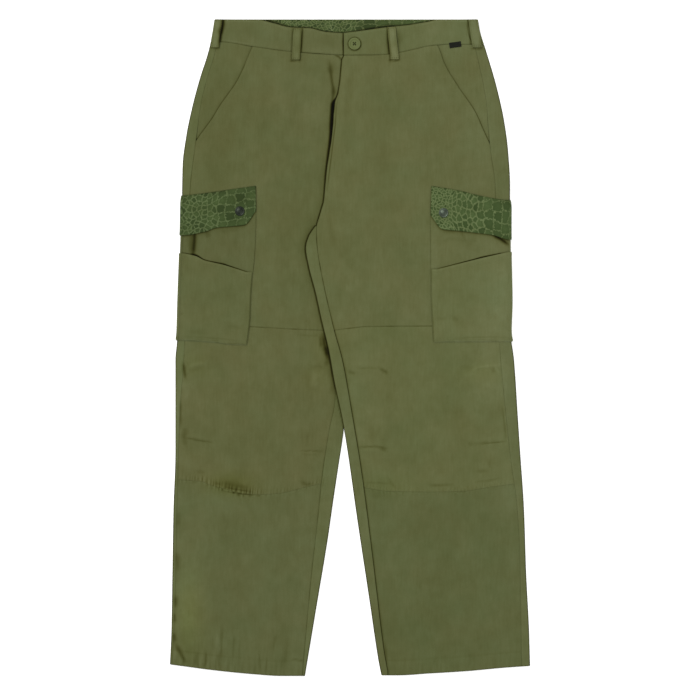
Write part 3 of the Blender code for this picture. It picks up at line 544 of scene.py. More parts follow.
def outseamX(side, drop):
    edge = outerX(side, drop)
    inset = np.abs(edge - curve(legLines[side]["outseam"], drop))
    return edge - outward(side) * np.maximum(inset, form["edgeHeight"] / 2 + form["edgeClear"])


def frontEdgeX(side, drop):
    pick = np.minimum if side == "left" else np.maximum
    return pick(curve(legLines[side]["slash"], drop), outseamX(side, drop))


def inseamX(side, drop):
    above = frontRiseX(side, drop)
    if side == "right":
        above = above + curve(underlap, drop)
    return np.where(drop > form["crotch"], curve(legLines[side]["inseam"], drop), above)


def levelAt(side, name, x):
    # drop of a crosswise line at x
    return curve(crossLevels[side][name], x)


def noise(x, y, cellX, cellY, seed):
    # smooth lattice noise from -1 to 1, the same at every run
    size = 64
    lattice = np.random.default_rng(seed).uniform(-1, 1, (size, size))
    u, v = x / cellX + size, y / cellY + size
    i, j = np.floor(u).astype(int), np.floor(v).astype(int)
    fu, fv = rise(u - i, 0, 1), rise(v - j, 0, 1)
    i, j, iNext, jNext = i % size, j % size, (i + 1) % size, (j + 1) % size
    top = mix(lattice[i, j], lattice[iNext, j], fu)
    bottom = mix(lattice[i, jNext], lattice[iNext, jNext], fu)
    return mix(top, bottom, fv)


lightAndShadePatches = (
    # broad lighter and darker places of painted light and shade: x, drop, reach across and down,
    # amount
    (-214, 230, 52, 140, -0.11),
    (-86, 290, 42, 110, -0.07),
    (170, 22, 62, 34, 0.11),
    (204, 178, 30, 90, 0.08),
    (246, 430, 32, 75, 0.15),
    (106, 440, 24, 52, 0.08),
    (228, 560, 38, 62, 0.17),
    (252, 745, 22, 115, 0.13),
    (-276, 620, 14, 90, 0.16),
    (-264, 925, 26, 84, 0.13),
    (-192, 740, 40, 14, -0.1),
    (52, 995, 28, 62, -0.11),
    (118, 985, 46, 60, -0.05),
)
warmPlaces = (
    # yellower places: x, drop, reach across and down, amount
    (-258, 955, 26, 72, 0.75),
    (-190, 744, 38, 18, 0.7),
    (-252, 552, 30, 20, 0.3),
    (-44, 572, 26, 22, 0.25),
    (-40, 524, 20, 26, 0.3),
    (214, 562, 40, 20, 0.25),
    (60, 745, 44, 20, 0.2),
)


def placesField(places, x, drop):
    total = np.zeros(x.shape)
    for middle, down, across, along, amount in places:
        total += amount * np.exp(-(((x - middle) / across) ** 2) - ((drop - down) / along) ** 2)
    return total


def strokeField(strokes, x, drop):
    # height and light of a list of creases at many points
    height, light = np.zeros(x.shape), np.ones(x.shape)
    for halfWidth, peak, dark, *points in strokes:
        rows = np.array(points, float)
        reach = 3 * halfWidth
        (lowX, lowDrop), (highX, highDrop) = rows.min(axis=0) - reach, rows.max(axis=0) + reach
        near = (x > lowX) & (x < highX) & (drop > lowDrop) & (drop < highDrop)
        if not near.any():
            continue
        px, py = x[near], drop[near]
        best, along = np.full(px.shape, 1e9), np.zeros(px.shape)
        walked = 0
        for start, end in zip(rows, rows[1:]):
            step = end - start
            size = math.hypot(*step)
            t = np.clip(((px - start[0]) * step[0] + (py - start[1]) * step[1]) / size**2, 0, 1)
            away = np.hypot(px - start[0] - t * step[0], py - start[1] - t * step[1])
            closer = away < best
            best = np.where(closer, away, best)
            along = np.where(closer, walked + t * size, along)
            walked += size
        along /= walked
        taper = rise(along, -0.12, 0.3) * fall(along, 0.7, 1.12)
        wobble = 1 + 0.35 * noise(px, py, 9, 9, 7)
        height[near] += peak * taper * bell(best, halfWidth * wobble)
        # painted shade along the crease; a painted highlight where dark is below 0
        light[near] *= shadeAt(best, drapeLook["creaseShade"] * dark * taper, halfWidth * wobble)
    return height, light


def gatherField(side, x, drop):
    # short ridges square to the gathered seams, uneven in length, height and spacing
    height, light = np.zeros(x.shape), np.ones(x.shape)
    for number, (seam, moved, above, below, spacing, peak, dark) in enumerate(gatherLook.values()):
        strengths = gathers[side][seam]
        away = drop - levelAt(side, seam, x) + moved
        lengths = 1 + 0.6 * noise(x, drop * 0, 11, 9, 31 + number)
        reach = np.where(away < 0, above, below) * lengths
        strength = curve(strengths, x) * bell(away, reach)
        strength = strength * (1 + 0.5 * noise(x, drop, 14, 40, 41 + number))
        place = x + 5 * noise(x, drop * 0, 17, 9, 51 + number) + 0.08 * away
        wave = np.cos(2 * math.pi * place / spacing)
        wave = wave + 0.4 * np.cos(2 * math.pi * place / (0.61 * spacing) + 1.3)
        height += peak * strength * wave
        # painted shade in the dips, and a weaker painted highlight on the ridges
        light *= 1 + dark * strength * np.minimum(wave, 0.4)
    return height, light


def foldHeight(side, x, drop):
    height = np.zeros(np.broadcast(x, drop).shape)
    for foldX, foldDrop, length, turn, halfWidth, peak in folds[side]:
        alongX, alongDrop = math.cos(math.radians(turn)), math.sin(math.radians(turn))
        along = (x - foldX) * alongX + (drop - foldDrop) * alongDrop
        across = (drop - foldDrop) * alongX - (x - foldX) * alongDrop
        ends = fall(abs(along), 0.25 * length, 0.55 * length)
        height += peak * ends * bell(across, halfWidth)
    return height


def drapeHeight(side, x, drop):
    seed = 100 + sides.index(side)
    height = drapeLook["broad"] * noise(x, drop, 44, 105, seed)
    height += drapeLook["middle"] * noise(x, drop, 19, 30, seed + 10)
    return height + drapeLook["fine"] * noise(x, drop, 6, 10, seed + 20)


def lifted(name, away, drop):
    height, reach, start, end = form[name]
    return height * fall(away, *reach) * rise(drop, *start) * fall(drop, *end)


def underHeight(side, x, drop):
    # what lies under the leg's edges: the pockets' ends, and the right leg under the left one
    height = lifted("pocketLift", abs(x - outerX(side, drop)), drop)
    if side == "left":
        height += lifted("legLift", abs(x - innerX(side, drop)), drop)
    return height


def topHeight(side, x, drop):
    # upper face of the leg's cloth, and how light it is, creases and gathers included
    reachOut = abs(x - outerX(side, drop))
    reachIn = abs(x - innerX(side, drop))
    crown = np.sin(math.pi * reachOut / (reachOut + reachIn))
    height = form["edgeHeight"] + form["crown"] * crown
    height = mix(height, curve(innerHeights[side], drop), fall(reachIn, *form["innerFade"]))
    clear = rise(reachOut, *form["foldFade"]) * rise(reachIn, *form["foldFade"])
    creaseHeight, creaseLight = strokeField(creases[side]["leg"], x, drop)
    gatherHeight, gatherLight = gatherField(side, x, drop)
    soft = foldHeight(side, x, drop) + drapeHeight(side, x, drop)
    soft = soft * clear + (creaseHeight + gatherHeight) * rise(reachOut, 0.5, 3)
    mottle = 1 + drapeLook["mottle"] * noise(x, drop, 22, 48, 5)
    return underHeight(side, x, drop) + height + soft, creaseLight * gatherLight * mottle


def edgeRadius(side, x, drop):
    # the folded edge keeps the plain height of its solid
    rim = np.where(
        abs(x - outerX(side, drop)) < 1e-3, form["edgeHeight"], curve(innerHeights[side], drop)
    )
    return rim / 2


def world(x, drop, z):
    x, drop, z = np.broadcast_arrays(x, drop, z)
    across = (x - form["centreX"]) / 1000
    along = (form["length"] / 2 - drop) / 1000
    return np.stack((across, along, z / 1000), axis=-1)


def rowDrops(side, rows, x, back=False):
    # how far down the rows of a panel lie at each x; rows are their stretches and shares of them
    names, shares = rows
    drops = np.zeros(x.shape)
    for stretch, (above, below) in stretches.items():
        chosen = names == stretch
        above = "waistBack" if back and above == "waist" else above
        top, bottom = (levelAt(side, name, x[chosen]) for name in (above, below))
        drops[chosen] = mix(top, bottom, shares[chosen])
    return drops


def rowsMeet(side, rows, line, back=False):
    # where each row meets a lengthwise line
    x = np.full(rows[1].shape, form["legMiddle"] * outward(side))
    for _ in range(8):
        x = line(side, rowDrops(side, rows, x, back))
    return x


# where a grid is finer, as (place, reach, step), with no place for the end of its length
atStart, atEnd = (0, 1.6, 0.5), (None, 1.6, 0.5)


def marks(length, step, close=(atStart, atEnd)):
    # shares of a length, closer together near some places
    spots = [(length if place is None else place, reach, fine) for place, reach, fine in close]
    places = [0]
    while places[-1] < length:
        here = places[-1]
        size = step
        for place, reach, fine in spots:
            size = min(size, fine + 0.4 * max(abs(here - place) - reach, 0))
        places.append(here + size)
    return np.array(places) / places[-1]


def turnRound(way, rows):
    # ways in x and z out of a folded edge, from the top to the underside
    angles = np.radians(np.linspace(90, -90, 11))[1:-1]
    ones = np.ones((rows, 1))
    return way * np.cos(angles) * ones, np.sin(angles) * ones


def joined(*strips):
    # strips of a grid side by side, field by field
    filled = [np.broadcast_arrays(*strip) for strip in strips]
    return [np.concatenate(fields, axis=1) for fields in zip(*filled)]


def runAlong(points):
    # running length of a line of points, or down a grid of them
    sizes = np.linalg.norm(np.diff(points, axis=0), axis=-1)
    return np.concatenate((np.zeros((1,) + sizes.shape[1:]), np.cumsum(sizes, axis=0)))


# Cargo pocket outlines, as (reach, drop) rows, and the front edge as (drop, x) rows.
# Reach is the way from the outer edge: over 0 on top, under 0 on the underside.
rightPocket = {
    "front": (
        (266, -149.6), (306, -149.3), (366, -151), (443, -157.2), (472, -158), (491, -159.6),
        (521, -163.6),
    ),
    "flapTop": ((-62, 282), (0, 282), (12, 281), (118, 266.4)),
    "flapBottom": (
        (-62, 322), (-46, 345), (0, 346), (38, 340), (56, 333.6), (101, 329), (119, 306),
    ),
    "slipTop": ((-62, 374), (0, 374), (24, 378.4), (40, 385.6), (68, 392), (109, 404)),
    "pocketBottom": ((-62, 513), (0, 514), (66, 517.6), (90, 520.6), (118, 521.4)),
}
leftPocket = {
    "front": ((266, 130.9), (306, 129.6), (430, 130), (517, 133.5)),
    "flapTop": ((-62, 289.4), (0, 289.4), (40, 283.8), (84, 273.6), (127, 266.4)),
    "flapBottom": (
        (-62, 330), (-46, 352), (0, 352.8), (28, 345.4), (80, 339), (108, 336), (127, 313.3),
    ),
    "slipTop": ((-62, 372), (0, 372), (13, 374.4), (118, 399.5)),
    "pocketBottom": ((-62, 515), (0, 516), (92, 516.4), (127, 517.5)),
}
pockets = {"right": rightPocket, "left": leftPocket}
pocketParts = {
    # part: top line and how far down from it, bottom line and how far down, inset,
    # heights over the leg as (share, height), the cloth's thickness and the node
    "cargo": ("flapTop", 18, "pocketBottom", 0, 0, ((0, 0.3),), 1, "cargo_pocket"),
    "slip": ("slipTop", 0, "pocketBottom", -1.5, 1.5, ((0, 1.6),), 1.2, "slip_pocket"),
    "flap": ("flapTop", 0, "flapBottom", 0, 0, ((0, 0.3), (0.2, 1.6), (1, 1.6)), 1.2, "cargo_flap"),
}
pocketLook = {
    "middle": 306,
    "reachBack": 62,
    "step": 1.7,
    "mouthShare": 0.42,
    "pressed": 0.75,
    "pressedReach": 4.5,
    "slipGape": 1.3,
    "flapStand": 0.5,
    "cornerLift": 1.6,
    "underFlap": ((0.45, 1.8), (0.13, 6)),
}
# painted shadow at the slip pocket's open top edge, and how far it reaches up, as (reach, value)
rightMouth = {
    "dark": (
        (0, 0.3), (4, 0.75), (17, 0.85), (22, 0.97), (34, 0.97), (42, 0.8), (60, 0.92), (76, 0.92),
        (90, 0.75), (107, 0.5), (113, 0),
    ),
    "reach": (
        (0, 1), (14, 1.3), (20, 3.4), (28, 3), (38, 1.6), (60, 2), (70, 2.6), (80, 1.8), (113, 1.1),
    ),
}
leftMouth = {
    "dark": ((0, 0.15), (10, 0.3), (16, 0.9), (60, 0.95), (90, 0.75), (112, 0.45), (118, 0.1)),
    "reach": ((0, 1), (16, 1.4), (30, 2), (45, 2.6), (58, 1.8), (90, 1.3), (118, 1)),
}
slipMouth = {"right": rightMouth, "left": leftMouth}


def partDrop(side, part, reach, share):
    topName, topMove, bottomName, bottomMove = pocketParts[part][:4]
    lines = pockets[side]
    top, bottom = curve(lines[topName], reach) + topMove, curve(lines[bottomName], reach)
    if part != "cargo":
        return mix(top, bottom + bottomMove, share)
    # the cargo pocket's rows follow the slip pocket's mouth across it
    mouth, mouthShare = curve(lines["slipTop"], reach), pocketLook["mouthShare"]
    above = mix(top, mouth, share / mouthShare)
    below = mix(mouth, bottom + bottomMove, (share - mouthShare) / (1 - mouthShare))
    return np.where(share < mouthShare, above, below)


def frontReach(side):
    middle = pocketLook["middle"]
    return abs(curve(pockets[side]["front"], middle) - outerX(side, middle))


def partScale(side, part, drop):
    # the piece's true width there as a share of its width at the middle
    front = abs(curve(pockets[side]["front"], drop) - outerX(side, drop)) - pocketParts[part][4]
    return front / frontReach(side)


def partPlace(side, part, reach, share):
    drop = partDrop(side, part, reach, share)
    return outerX(side, drop) - outward(side) * reach * partScale(side, part, drop), drop


def pressedIn(side, x, drop):
    # troughs in the pocket layers press the leg under them in as well
    height = np.zeros(x.shape)
    for part in ("cargo", "slip"):
        height += np.minimum(strokeField(creases[side][part], x, drop)[0], 0)
    return height


def legTop(side, x, drop):
    x, drop = np.broadcast_arrays(x, drop)
    height, light = topHeight(side, x, drop)
    return height + pressedIn(side, x, drop), light


def partTop(side, part, x, drop, share, reach):
    # upper face of a pocket piece over the leg, its cloth's thickness and how light it is
    lay, cloth = pocketParts[part][5:7]
    height = legTop(side, x, drop)[0] + curve(lay, share)
    light = 1 + drapeLook["mottle"] * noise(x, drop, 22, 48, 6)
    for name in ("cargo",) if part == "cargo" else ("cargo", "slip"):
        strokeHeight, strokeLight = strokeField(creases[side][name], x, drop)
        height += np.maximum(strokeHeight, 0)
        if name == part:
            light *= strokeLight
    depth = partDrop(side, part, reach, 1) - partDrop(side, part, reach, 0)
    down, up = share * depth, (1 - share) * depth
    clear = fall(reach, frontReach(side) - 8, frontReach(side))
    if part == "slip":
        # its open top edge stands off the pocket a little
        gape = bell(down, 9) * clear * (0.6 + 0.4 * noise(x, drop * 0, 24, 9, 61))
        height += pocketLook["slipGape"] * gape
    if part == "flap":
        stand = bell(up, 12) * (0.5 + 0.5 * noise(x, drop * 0, 30, 9, 62))
        height += pocketLook["flapStand"] * stand
        if side == "left":
            # the loose corner at the outer edge lifts off the pocket
            height += pocketLook["cornerLift"] * bell(up, 14) * fall(reach, 8, 26)
    if part == "cargo":
        # painted shadow under the flap's edge
        underFlap = np.maximum(drop - curve(pockets[side]["flapBottom"], reach), 0)
        for shade in pocketLook["underFlap"]:
            light *= shadeAt(underFlap, *shade)
        # painted shadow in the slip pocket's mouth
        mouth, overSlip = slipMouth[side], curve(pockets[side]["slipTop"], reach) - drop
        dark = curve(mouth["dark"], reach) * (reach > -2)
        mouthReach = curve(mouth["reach"], reach)
        light *= 1 - dark * fall(abs(overSlip), 0.35 * mouthReach, 1.35 * mouthReach)
    # sewn down flat along the bottom
    thick = cloth
    if part != "flap":
        thick = cloth - pocketLook["pressed"] * bell(up, pocketLook["pressedReach"])
    if part == "slip":
        height -= pocketLook["pressed"] * bell(up + 1.5, pocketLook["pressedReach"])
    return height + thick, thick, light


def linked(name, data):
    made = bpy.data.objects.new(name, data)
    bpy.context.scene.collection.objects.link(made)
    return made


def meshObject(name, points, faces, attributes, smooth=True):
    # quads as an index array; flipped if they would face inwards
    points = points.reshape(-1, 3)
    used, faces = np.unique(faces, return_inverse=True)
    faces = faces.reshape(-1, 4)
    points = points[used]
    a, b, c, d = (points[faces[:, i]] for i in range(4))
    volume = np.einsum("ij,ij->", a, np.cross(b, c)) + np.einsum("ij,ij->", a, np.cross(c, d))
    if volume < 0:
        faces = faces[:, ::-1]
    mesh = bpy.data.meshes.new(name)
    mesh.vertices.add(len(points))
    mesh.vertices.foreach_set("co", points.astype(np.float32).ravel())
    mesh.loops.add(faces.size)
    mesh.loops.foreach_set("vertex_index", faces.astype(np.int32).ravel())
    mesh.polygons.add(len(faces))
    mesh.polygons.foreach_set("loop_start", np.arange(0, faces.size, 4, dtype=np.int32))
    mesh.polygons.foreach_set("use_smooth", np.full(len(faces), smooth))
    mesh.update(calc_edges=True)
    for label, values in attributes.items():
        kind, field = ("FLOAT", "value") if values.ndim == 1 else ("FLOAT_VECTOR", "vector")
        layer = mesh.attributes.new(label, kind, "POINT")
        layer.data.foreach_set(field, values[used].astype(np.float32).ravel())
    return linked(name, mesh)


def clothObject(name, outer, inner, light, present=True, place=None):
    # closed shell between two grids of points
    present = np.broadcast_to(present, light.shape)
    total = light.size
    ids = np.arange(total).reshape(light.shape)
    cells = present[:-1, :-1] & present[1:, :-1] & present[:-1, 1:] & present[1:, 1:]
    corners = [ids[:-1, :-1], ids[:-1, 1:], ids[1:, 1:], ids[1:, :-1]]
    a, b, c, d = (grid[cells] for grid in corners)
    top = np.stack((a, b, c, d), axis=1)
    starts, ends = np.concatenate((a, b, c, d)), np.concatenate((b, c, d, a))
    border = ~np.isin(starts * total + ends, ends * total + starts)
    s, e = starts[border], ends[border]
    wall = np.stack((e, s, s + total, e + total), axis=1)
    faces = np.concatenate((top, top[:, ::-1] + total, wall))
    points = np.concatenate((outer.reshape(-1, 3), inner.reshape(-1, 3)))
    x = outer[..., 0] * 1000 + form["centreX"]
    drop = form["length"] / 2 - outer[..., 1] * 1000
    # painted light and shade in broad patches
    light *= 1 + placesField(lightAndShadePatches, x, drop)
    attributes = {"shade": light.ravel(), "warm": placesField(warmPlaces, x, drop).ravel()}
    if place is not None:
        attributes["printPlace"] = place.reshape(-1, 3)
    bothSides = {label: np.concatenate((values, values)) for label, values in attributes.items()}
    return meshObject(name, points, faces, bothSides)


seamLook = {
    "sink": 0.45,
    "width": 0.9,
    "dark": 0.5,
    "darkWidth": 0.8,
    "ridgeAt": 3.2,
    "ridgeWidth": 1.5,
    "ridge": 0.16,
    "ripple": 0.12,
}
seamStrengths = {
    # piece: how strongly its outer, inner, top and bottom edges are drawn in and painted in shade
    # below 0 an edge is painted lighter instead, as painted light
    "front_thigh_right": (0.55, 0.1, 0.45, 0.5),
    "front_thigh_left": (0.4, 1.3, 0.45, 0.5),
    "knee_panel_right": (0.25, 0.4, 0.5, 0.06),
    "knee_panel_left": (0.2, 2.4, 0.5, 0.05),
    "shin_panel_right": (0.25, 0.45, 0.06, 0.1),
    "shin_panel_left": (0.15, 2.3, 0.06, 0.1),
    "back_panel": (0.1, 0.4, 0.1, 0.1),
    "hip_piece": (0.08, 0.1, 0.2, 0.1),
    "cargo": (0.4, 0.1, 0.1, -0.5),
    "slip": (0.45, 0.1, 0.35, -0.4),
    "flap": (1.1, 0.1, 0.55, 0.7),
}


def edgesOf(points, strengths):
    # the way to each edge of a grid in mm, with how strongly that edge is drawn in
    down = runAlong(points) * 1000
    across = runAlong(points.swapaxes(0, 1)).swapaxes(0, 1) * 1000
    ways = (across, across[:, -1:] - across, down, down[-1:] - down)
    return list(zip(ways, strengths))


def seamRoll(x, drop, edges):
    # cloth turned under at its edges: height to add, and light to multiply as painted shade
    height, light = np.zeros(x.shape), np.ones(x.shape)
    look = seamLook
    uneven = 1 + 0.75 * noise(x, drop, 11, 11, 71)
    ripple = look["ripple"] * noise(x, drop, 4.6, 4.6, 72)
    for distance, strength in edges:
        height -= look["sink"] * max(strength, 0) * bell(distance, look["width"])
        height += look["ridge"] * bell(distance - look["ridgeAt"], look["ridgeWidth"]) * uneven
        height += ripple * bell(distance - 2.5, 3.5)
        # painted shade along each edge; painted light where its strength is below 0
        dark = np.minimum(look["dark"] * strength * uneven, 0.8)
        light *= shadeAt(distance, dark, look["darkWidth"])
    return height, light


panelLook = {
    "step": 2.6,
    "kneeStep": 2.1,
    "backStep": 6.5,
    # painted shade on the turned sides, and as (darkness, width) beside the left inseam and along
    # the hem's edge
    "rim": 0.8,
    "inseamShade": (0.46, 2.2),
    "inseamShadeFrom": (420, 520),
    "hemRim": (0.5, 1.1),
    # the line where the turned-up hem ends, and the painted shade along it as (darkness, width)
    "hemStepUp": 24.5,
    "hemStep": (0.1, 1.5),
    "hemRise": 0.35,
    "hemFade": (21, 26),
    "slashRise": 0.3,
    # finer next to the fly and where the left leg lies over the right one: reach, step
    "fine": {"right": (26, 1.3), "left": (14, 1.3)},
}
frontPanels = {
    # name: stretches, outer line and inner line
    "front_thigh": (("hip", "thigh"), frontEdgeX, inseamX),
    "knee_panel": (("knee",), outseamX, inseamX),
    "shin_panel": (("shin",), outseamX, inseamX),
}


def gridRows(side, stretchNames, step, lastOpen):
    # a panel's rows, and the nudges that keep the gap at its first and last one
    names, shares = [], []
    middle = form["legMiddle"] * outward(side)
    for number, stretch in enumerate(stretchNames):
        above, below = (levelAt(side, name, middle) for name in stretches[stretch])
        close = [(0, 2, 0.5)] if number == 0 else []
        if number == len(stretchNames) - 1:
            close.append((None, 2, 0.5))
        steps = marks(below - above, step, close)[min(number, 1):]
        names += [stretch] * len(steps)
        shares.append(steps)
    nudges = np.zeros((len(names), 1))
    nudges[0] = halfGap
    nudges[-1] = 0 if lastOpen else -halfGap
    return (np.array(names), np.concatenate(shares)[:, None]), nudges


def clothDepth(rows):
    names, shares = rows
    hem = (names == "shin")[:, None] & (shares >= form["hemShare"])
    return np.where(hem, form["hemCloth"], form["cloth"])


flyShade = {
    # the right front is in the shade of the left one along the fly, as (drop, darkness or width)
    "edge": (
        (58, 0.85), (70, 0.75), (95, 0.7), (124, 0.85), (131, 0.98), (180, 0.98), (205, 0.93),
        (242, 0.86), (290, 0.78), (303, 0.75), (331, 0.8), (395, 0.75), (482, 0.7), (530, 0.85),
        (560, 0.8), (600, 0.55), (680, 0.45), (760, 0.4),
    ),
    "edgeWidth": (
        (58, 1.5), (124, 1.7), (129, 3.6), (136, 5.6), (166, 5.6), (182, 4.6), (205, 3.6),
        (242, 2.5), (290, 2), (331, 1.5), (520, 1.8), (545, 2.4), (570, 2), (620, 1.3), (760, 1.2),
    ),
    "soft": (
        (58, 0), (110, 0.04), (170, 0.14), (250, 0.2), (331, 0.22), (400, 0.2), (520, 0.12),
        (700, 0.06),
    ),
    "softWidth": 9,
}


def flyShadeField(x, drop):
    line = innerX("left", drop)
    away = np.maximum(line - x, 0)
    reach = curve(flyShade["edgeWidth"], drop)
    dark = curve(flyShade["edge"], drop) * fall(away, 0.7 * reach, 1.5 * reach)
    return (1 - dark) * shadeAt(away, curve(flyShade["soft"], drop), flyShade["softWidth"])


def frontPanel(name, side):
    stretchNames, startLine, endLine = frontPanels[name]
    step = panelLook["kneeStep"] if name == "knee_panel" else panelLook["step"]
    rows, nudges = gridRows(side, stretchNames, step, name == "shin_panel")
    start = rowsMeet(side, rows, startLine) - outward(side) * halfGap
    end = rowsMeet(side, rows, endLine) + outward(side) * halfGap
    width = np.max(abs(end - start))
    close = [atStart, atEnd]
    if name != "shin_panel":
        close.append((None, *panelLook["fine"][side]))
    x = mix(start, end, marks(width, step, close)[None, :])
    drop = rowDrops(side, rows, x) + nudges
    z, light = legTop(side, x, drop)
    edges = edgesOf(world(x, drop, 0), seamStrengths[f"{name}_{side}"])
    roll, rollLight = seamRoll(x, drop, edges)
    if side == "right":
        light *= flyShadeField(x, drop)
    else:
        # painted shade beside the left leg's inseam
        dark, reach = panelLook["inseamShade"]
        light *= shadeAt(edges[1][0], dark * rise(drop, *panelLook["inseamShadeFrom"]), reach)
    if name == "shin_panel":
        # the turned-up hem shows as a soft step where its inner edge ends,
        # with painted shade there and along the hem's edge
        fromHem = levelAt(side, "hem", x) - drop
        light *= shadeAt(fromHem - panelLook["hemStepUp"], *panelLook["hemStep"])
        light *= shadeAt(fromHem, *panelLook["hemRim"])
        z = z + panelLook["hemRise"] * fall(fromHem, *panelLook["hemFade"])
    z = z + panelRise(side, name, x, drop)
    outer = world(x, drop, z + roll)
    inner = world(x, drop, z - clothDepth(rows))
    return clothObject(f"{name}_{side}_cloth", outer, inner, light * rollLight)


def panelRise(side, name, x, drop):
    # the slash pocket's edge is two layers and stands over the hip piece
    if name != "front_thigh":
        return 0
    away = abs(x - frontEdgeX(side, drop))
    return panelLook["slashRise"] * fall(away, 4, 9) * fall(drop, 205, 235)


def backPanel(side):
    # from its seam on top round the outer edge, under the leg, and round the inner edge again
    way, step = outward(side), panelLook["backStep"]
    rows, nudges = gridRows(side, stretches, step, True)
    isHip = (rows[0] == "hip")[:, None]
    belowCrotch = ~isHip | (rows[1] == 1)

    def meet(line, moved=0):
        return rowsMeet(side, rows, line, True) + way * moved

    def spread(start, end, shares):
        x = mix(start, end, shares)
        return x, rowDrops(side, rows, x, True) + nudges

    edge, fold = meet(outerX), meet(legInnerX)
    edgeDrop, foldDrop = spread(edge, edge, 0)[1], spread(fold, fold, 0)[1]
    radius = edgeRadius(side, edge, edgeDrop)
    foldRadius = curve(innerHeights[side], foldDrop) / 2
    turn, innerTurn = edge - way * radius, fold + way * foldRadius
    last = np.where(isHip, meet(backRiseX, -form["backLap"]), innerTurn)
    seam, inseam = meet(outseamX, halfGap), meet(inseamX, -halfGap)

    def topRun(start, end, shares, shown):
        x, drop = spread(start, end, shares)
        return (x, drop, *legTop(side, x, drop), 0, 1, shown)

    def lowRun(start, end, shares):
        x, drop = spread(start, end, shares)
        relief = 0.5 + drapeHeight(side, -x, drop) + 0.6 * foldHeight(side, x, drop)
        relief = np.maximum(relief, 0) * rise(abs(x - edge), 4, 30) * rise(abs(x - last), 4, 30)
        return x, drop, underHeight(side, x, drop) + 0.5 * relief, 1, 0, -1, True

    def roundRun(centre, drop, size, ways, shown):
        across, up = ways
        z = underHeight(side, centre, drop) + (1 + up) * size
        return centre + across * size, drop, z, 1, across, up, shown

    inwards = [grid[:, ::-1] for grid in turnRound(-way, len(edge))]
    x, drop, z, light, outX, outZ, shown = joined(
        topRun(seam, turn, marks(np.max(abs(seam - turn)), 1.8, (atStart,)), True),
        roundRun(turn, edgeDrop, radius, turnRound(way, len(edge)), True),
        lowRun(turn, last, marks(290, step, ((0, 0, 1.5), (None, 0, 1.5)))),
        roundRun(innerTurn, foldDrop, foldRadius, inwards, belowCrotch),
        topRun(innerTurn, inseam, marks(25, 1.8, (atEnd,)), belowCrotch),
    )
    hidden = np.where(outZ > 0.9, 0, 99)
    ways = (abs(x - seam) + hidden, abs(x - inseam) + hidden)
    roll, rollLight = seamRoll(x, drop, zip(ways, seamStrengths["back_panel"]))
    light *= rollLight
    if side == "right":
        light *= np.where(outZ > 0, flyShadeField(x, drop), 1)
    # painted shade darkens the turned sides and the hem along the outline
    light *= 1 - panelLook["rim"] * rise(abs(outX), 0.1, 0.75) * (outZ > -0.2)
    light *= shadeAt(levelAt(side, "hem", x) - drop, *panelLook["hemRim"])
    depth = clothDepth(rows)
    outer = world(x, drop, z + roll)
    inner = world(x - outX * depth, drop, z - outZ * depth)
    return clothObject(f"back_panel_{side}_cloth", outer, inner, light, shown)


hipLook = {
    # length and step of its grid
    "down": (160, 2.3),
    "across": (75, 1.8),
    "share": 0.53,
    "underlap": 15,
    "ramp": (3, 25),
    "low": 0.25,
    "mouth": ((45, 0.1), (80, 0.3), (130, 0.45), (190, 0.55), (215, 0.3)),
    "mouthWidth": 1.3,
    "mouthSoft": (0.08, 5),
}


def hipPiece(side):
    way = outward(side)
    shares = marks(*hipLook["down"], (atStart,))[:, None] * hipLook["share"]
    rows = np.full(len(shares), "hip"), shares
    seam = rowsMeet(side, rows, outseamX) - way * halfGap
    edge = rowsMeet(side, rows, frontEdgeX)
    x = mix(seam, edge - way * hipLook["underlap"], marks(*hipLook["across"])[None, :])
    drop = rowDrops(side, rows, x)
    drop[0] += halfGap
    sink = (form["cloth"] + form["gap"]) * fall((x - edge) * way, *hipLook["ramp"])
    z, light = legTop(side, x, drop)
    roll, rollLight = seamRoll(x, drop, edgesOf(world(x, drop, 0), seamStrengths["hip_piece"]))
    # the slash pocket's mouth throws a thin shade on it
    mouth = np.maximum((x - edge) * way, 0)
    light *= shadeAt(mouth, curve(hipLook["mouth"], drop), hipLook["mouthWidth"])
    light *= shadeAt(mouth, *hipLook["mouthSoft"])
    z = z - sink - hipLook["low"]
    outer = world(x, drop, z + roll)
    inner = world(x, drop, z - form["cloth"])
    return clothObject(f"hip_piece_{side}_cloth", outer, inner, light * rollLight)


bandLook = {
    "cloth": 2,
    "height": 5.6,
    "ends": {"right": 26, "left": -9},
    "centreBack": -3,
    "lap": 35,
    "heights": {
        "right": ((-216, 5.6), (-70, 5.6), (-25, 5.3), (30, 5.3)),
        "left": ((-9, 7.6), (28, 7.6), (85, 5.6), (206, 5.6)),
    },
    "roll": 0.6,
    "rollWidth": 1.2,
    # painted shade along the band's edges, as darkness and width
    "edgeShade": 0.22,
    "edgeWidth": 0.8,
    # lengths and steps of its grid
    "down": (36, 1.8),
    "front": (230, 2.2),
    "back": (210, 5),
    # middle, radius, darkness and width
    "buttonShade": (8.2, 39.8, 9.9, 0.85, 1.2),
}
# where the right side loop and the band under it turn away into the shade
loopTurn = (
    3.6, 0, 1.3, (-201, -14), (-202.2, 4), (-203.6, 14), (-206.1, 24), (-207.4, 36), (-207.8, 50),
)
bandShades = {
    # painted shade on the band beside the loops: half width, no height, darkness and points
    "right": (
        (1.6, 0, 0.75, (-90, 10), (-91.4, 40), (-93, 62)),
        (2.2, 0, 1, (-75, 8), (-77, 40), (-79, 64)),
        loopTurn,
        (1.6, 0, 1.2, (-10.2, 10), (-10, 40), (-9.8, 72)),
    ),
    "left": (
        (1.3, 0, 1, (59.6, 4), (61.6, 34), (64.6, 68)),
        (2.2, 0, 0.8, (61, 22), (62.6, 44), (64.5, 70)),
        (1.6, 0, 0.2, (76, 14), (78.5, 38), (80, 60)),
        (4, 0, 0.2, (78.5, 20), (81, 38)),
        (1.3, 0, 1.1, (187.8, -12), (189.8, 14), (192.7, 30), (196.5, 56)),
    ),
}


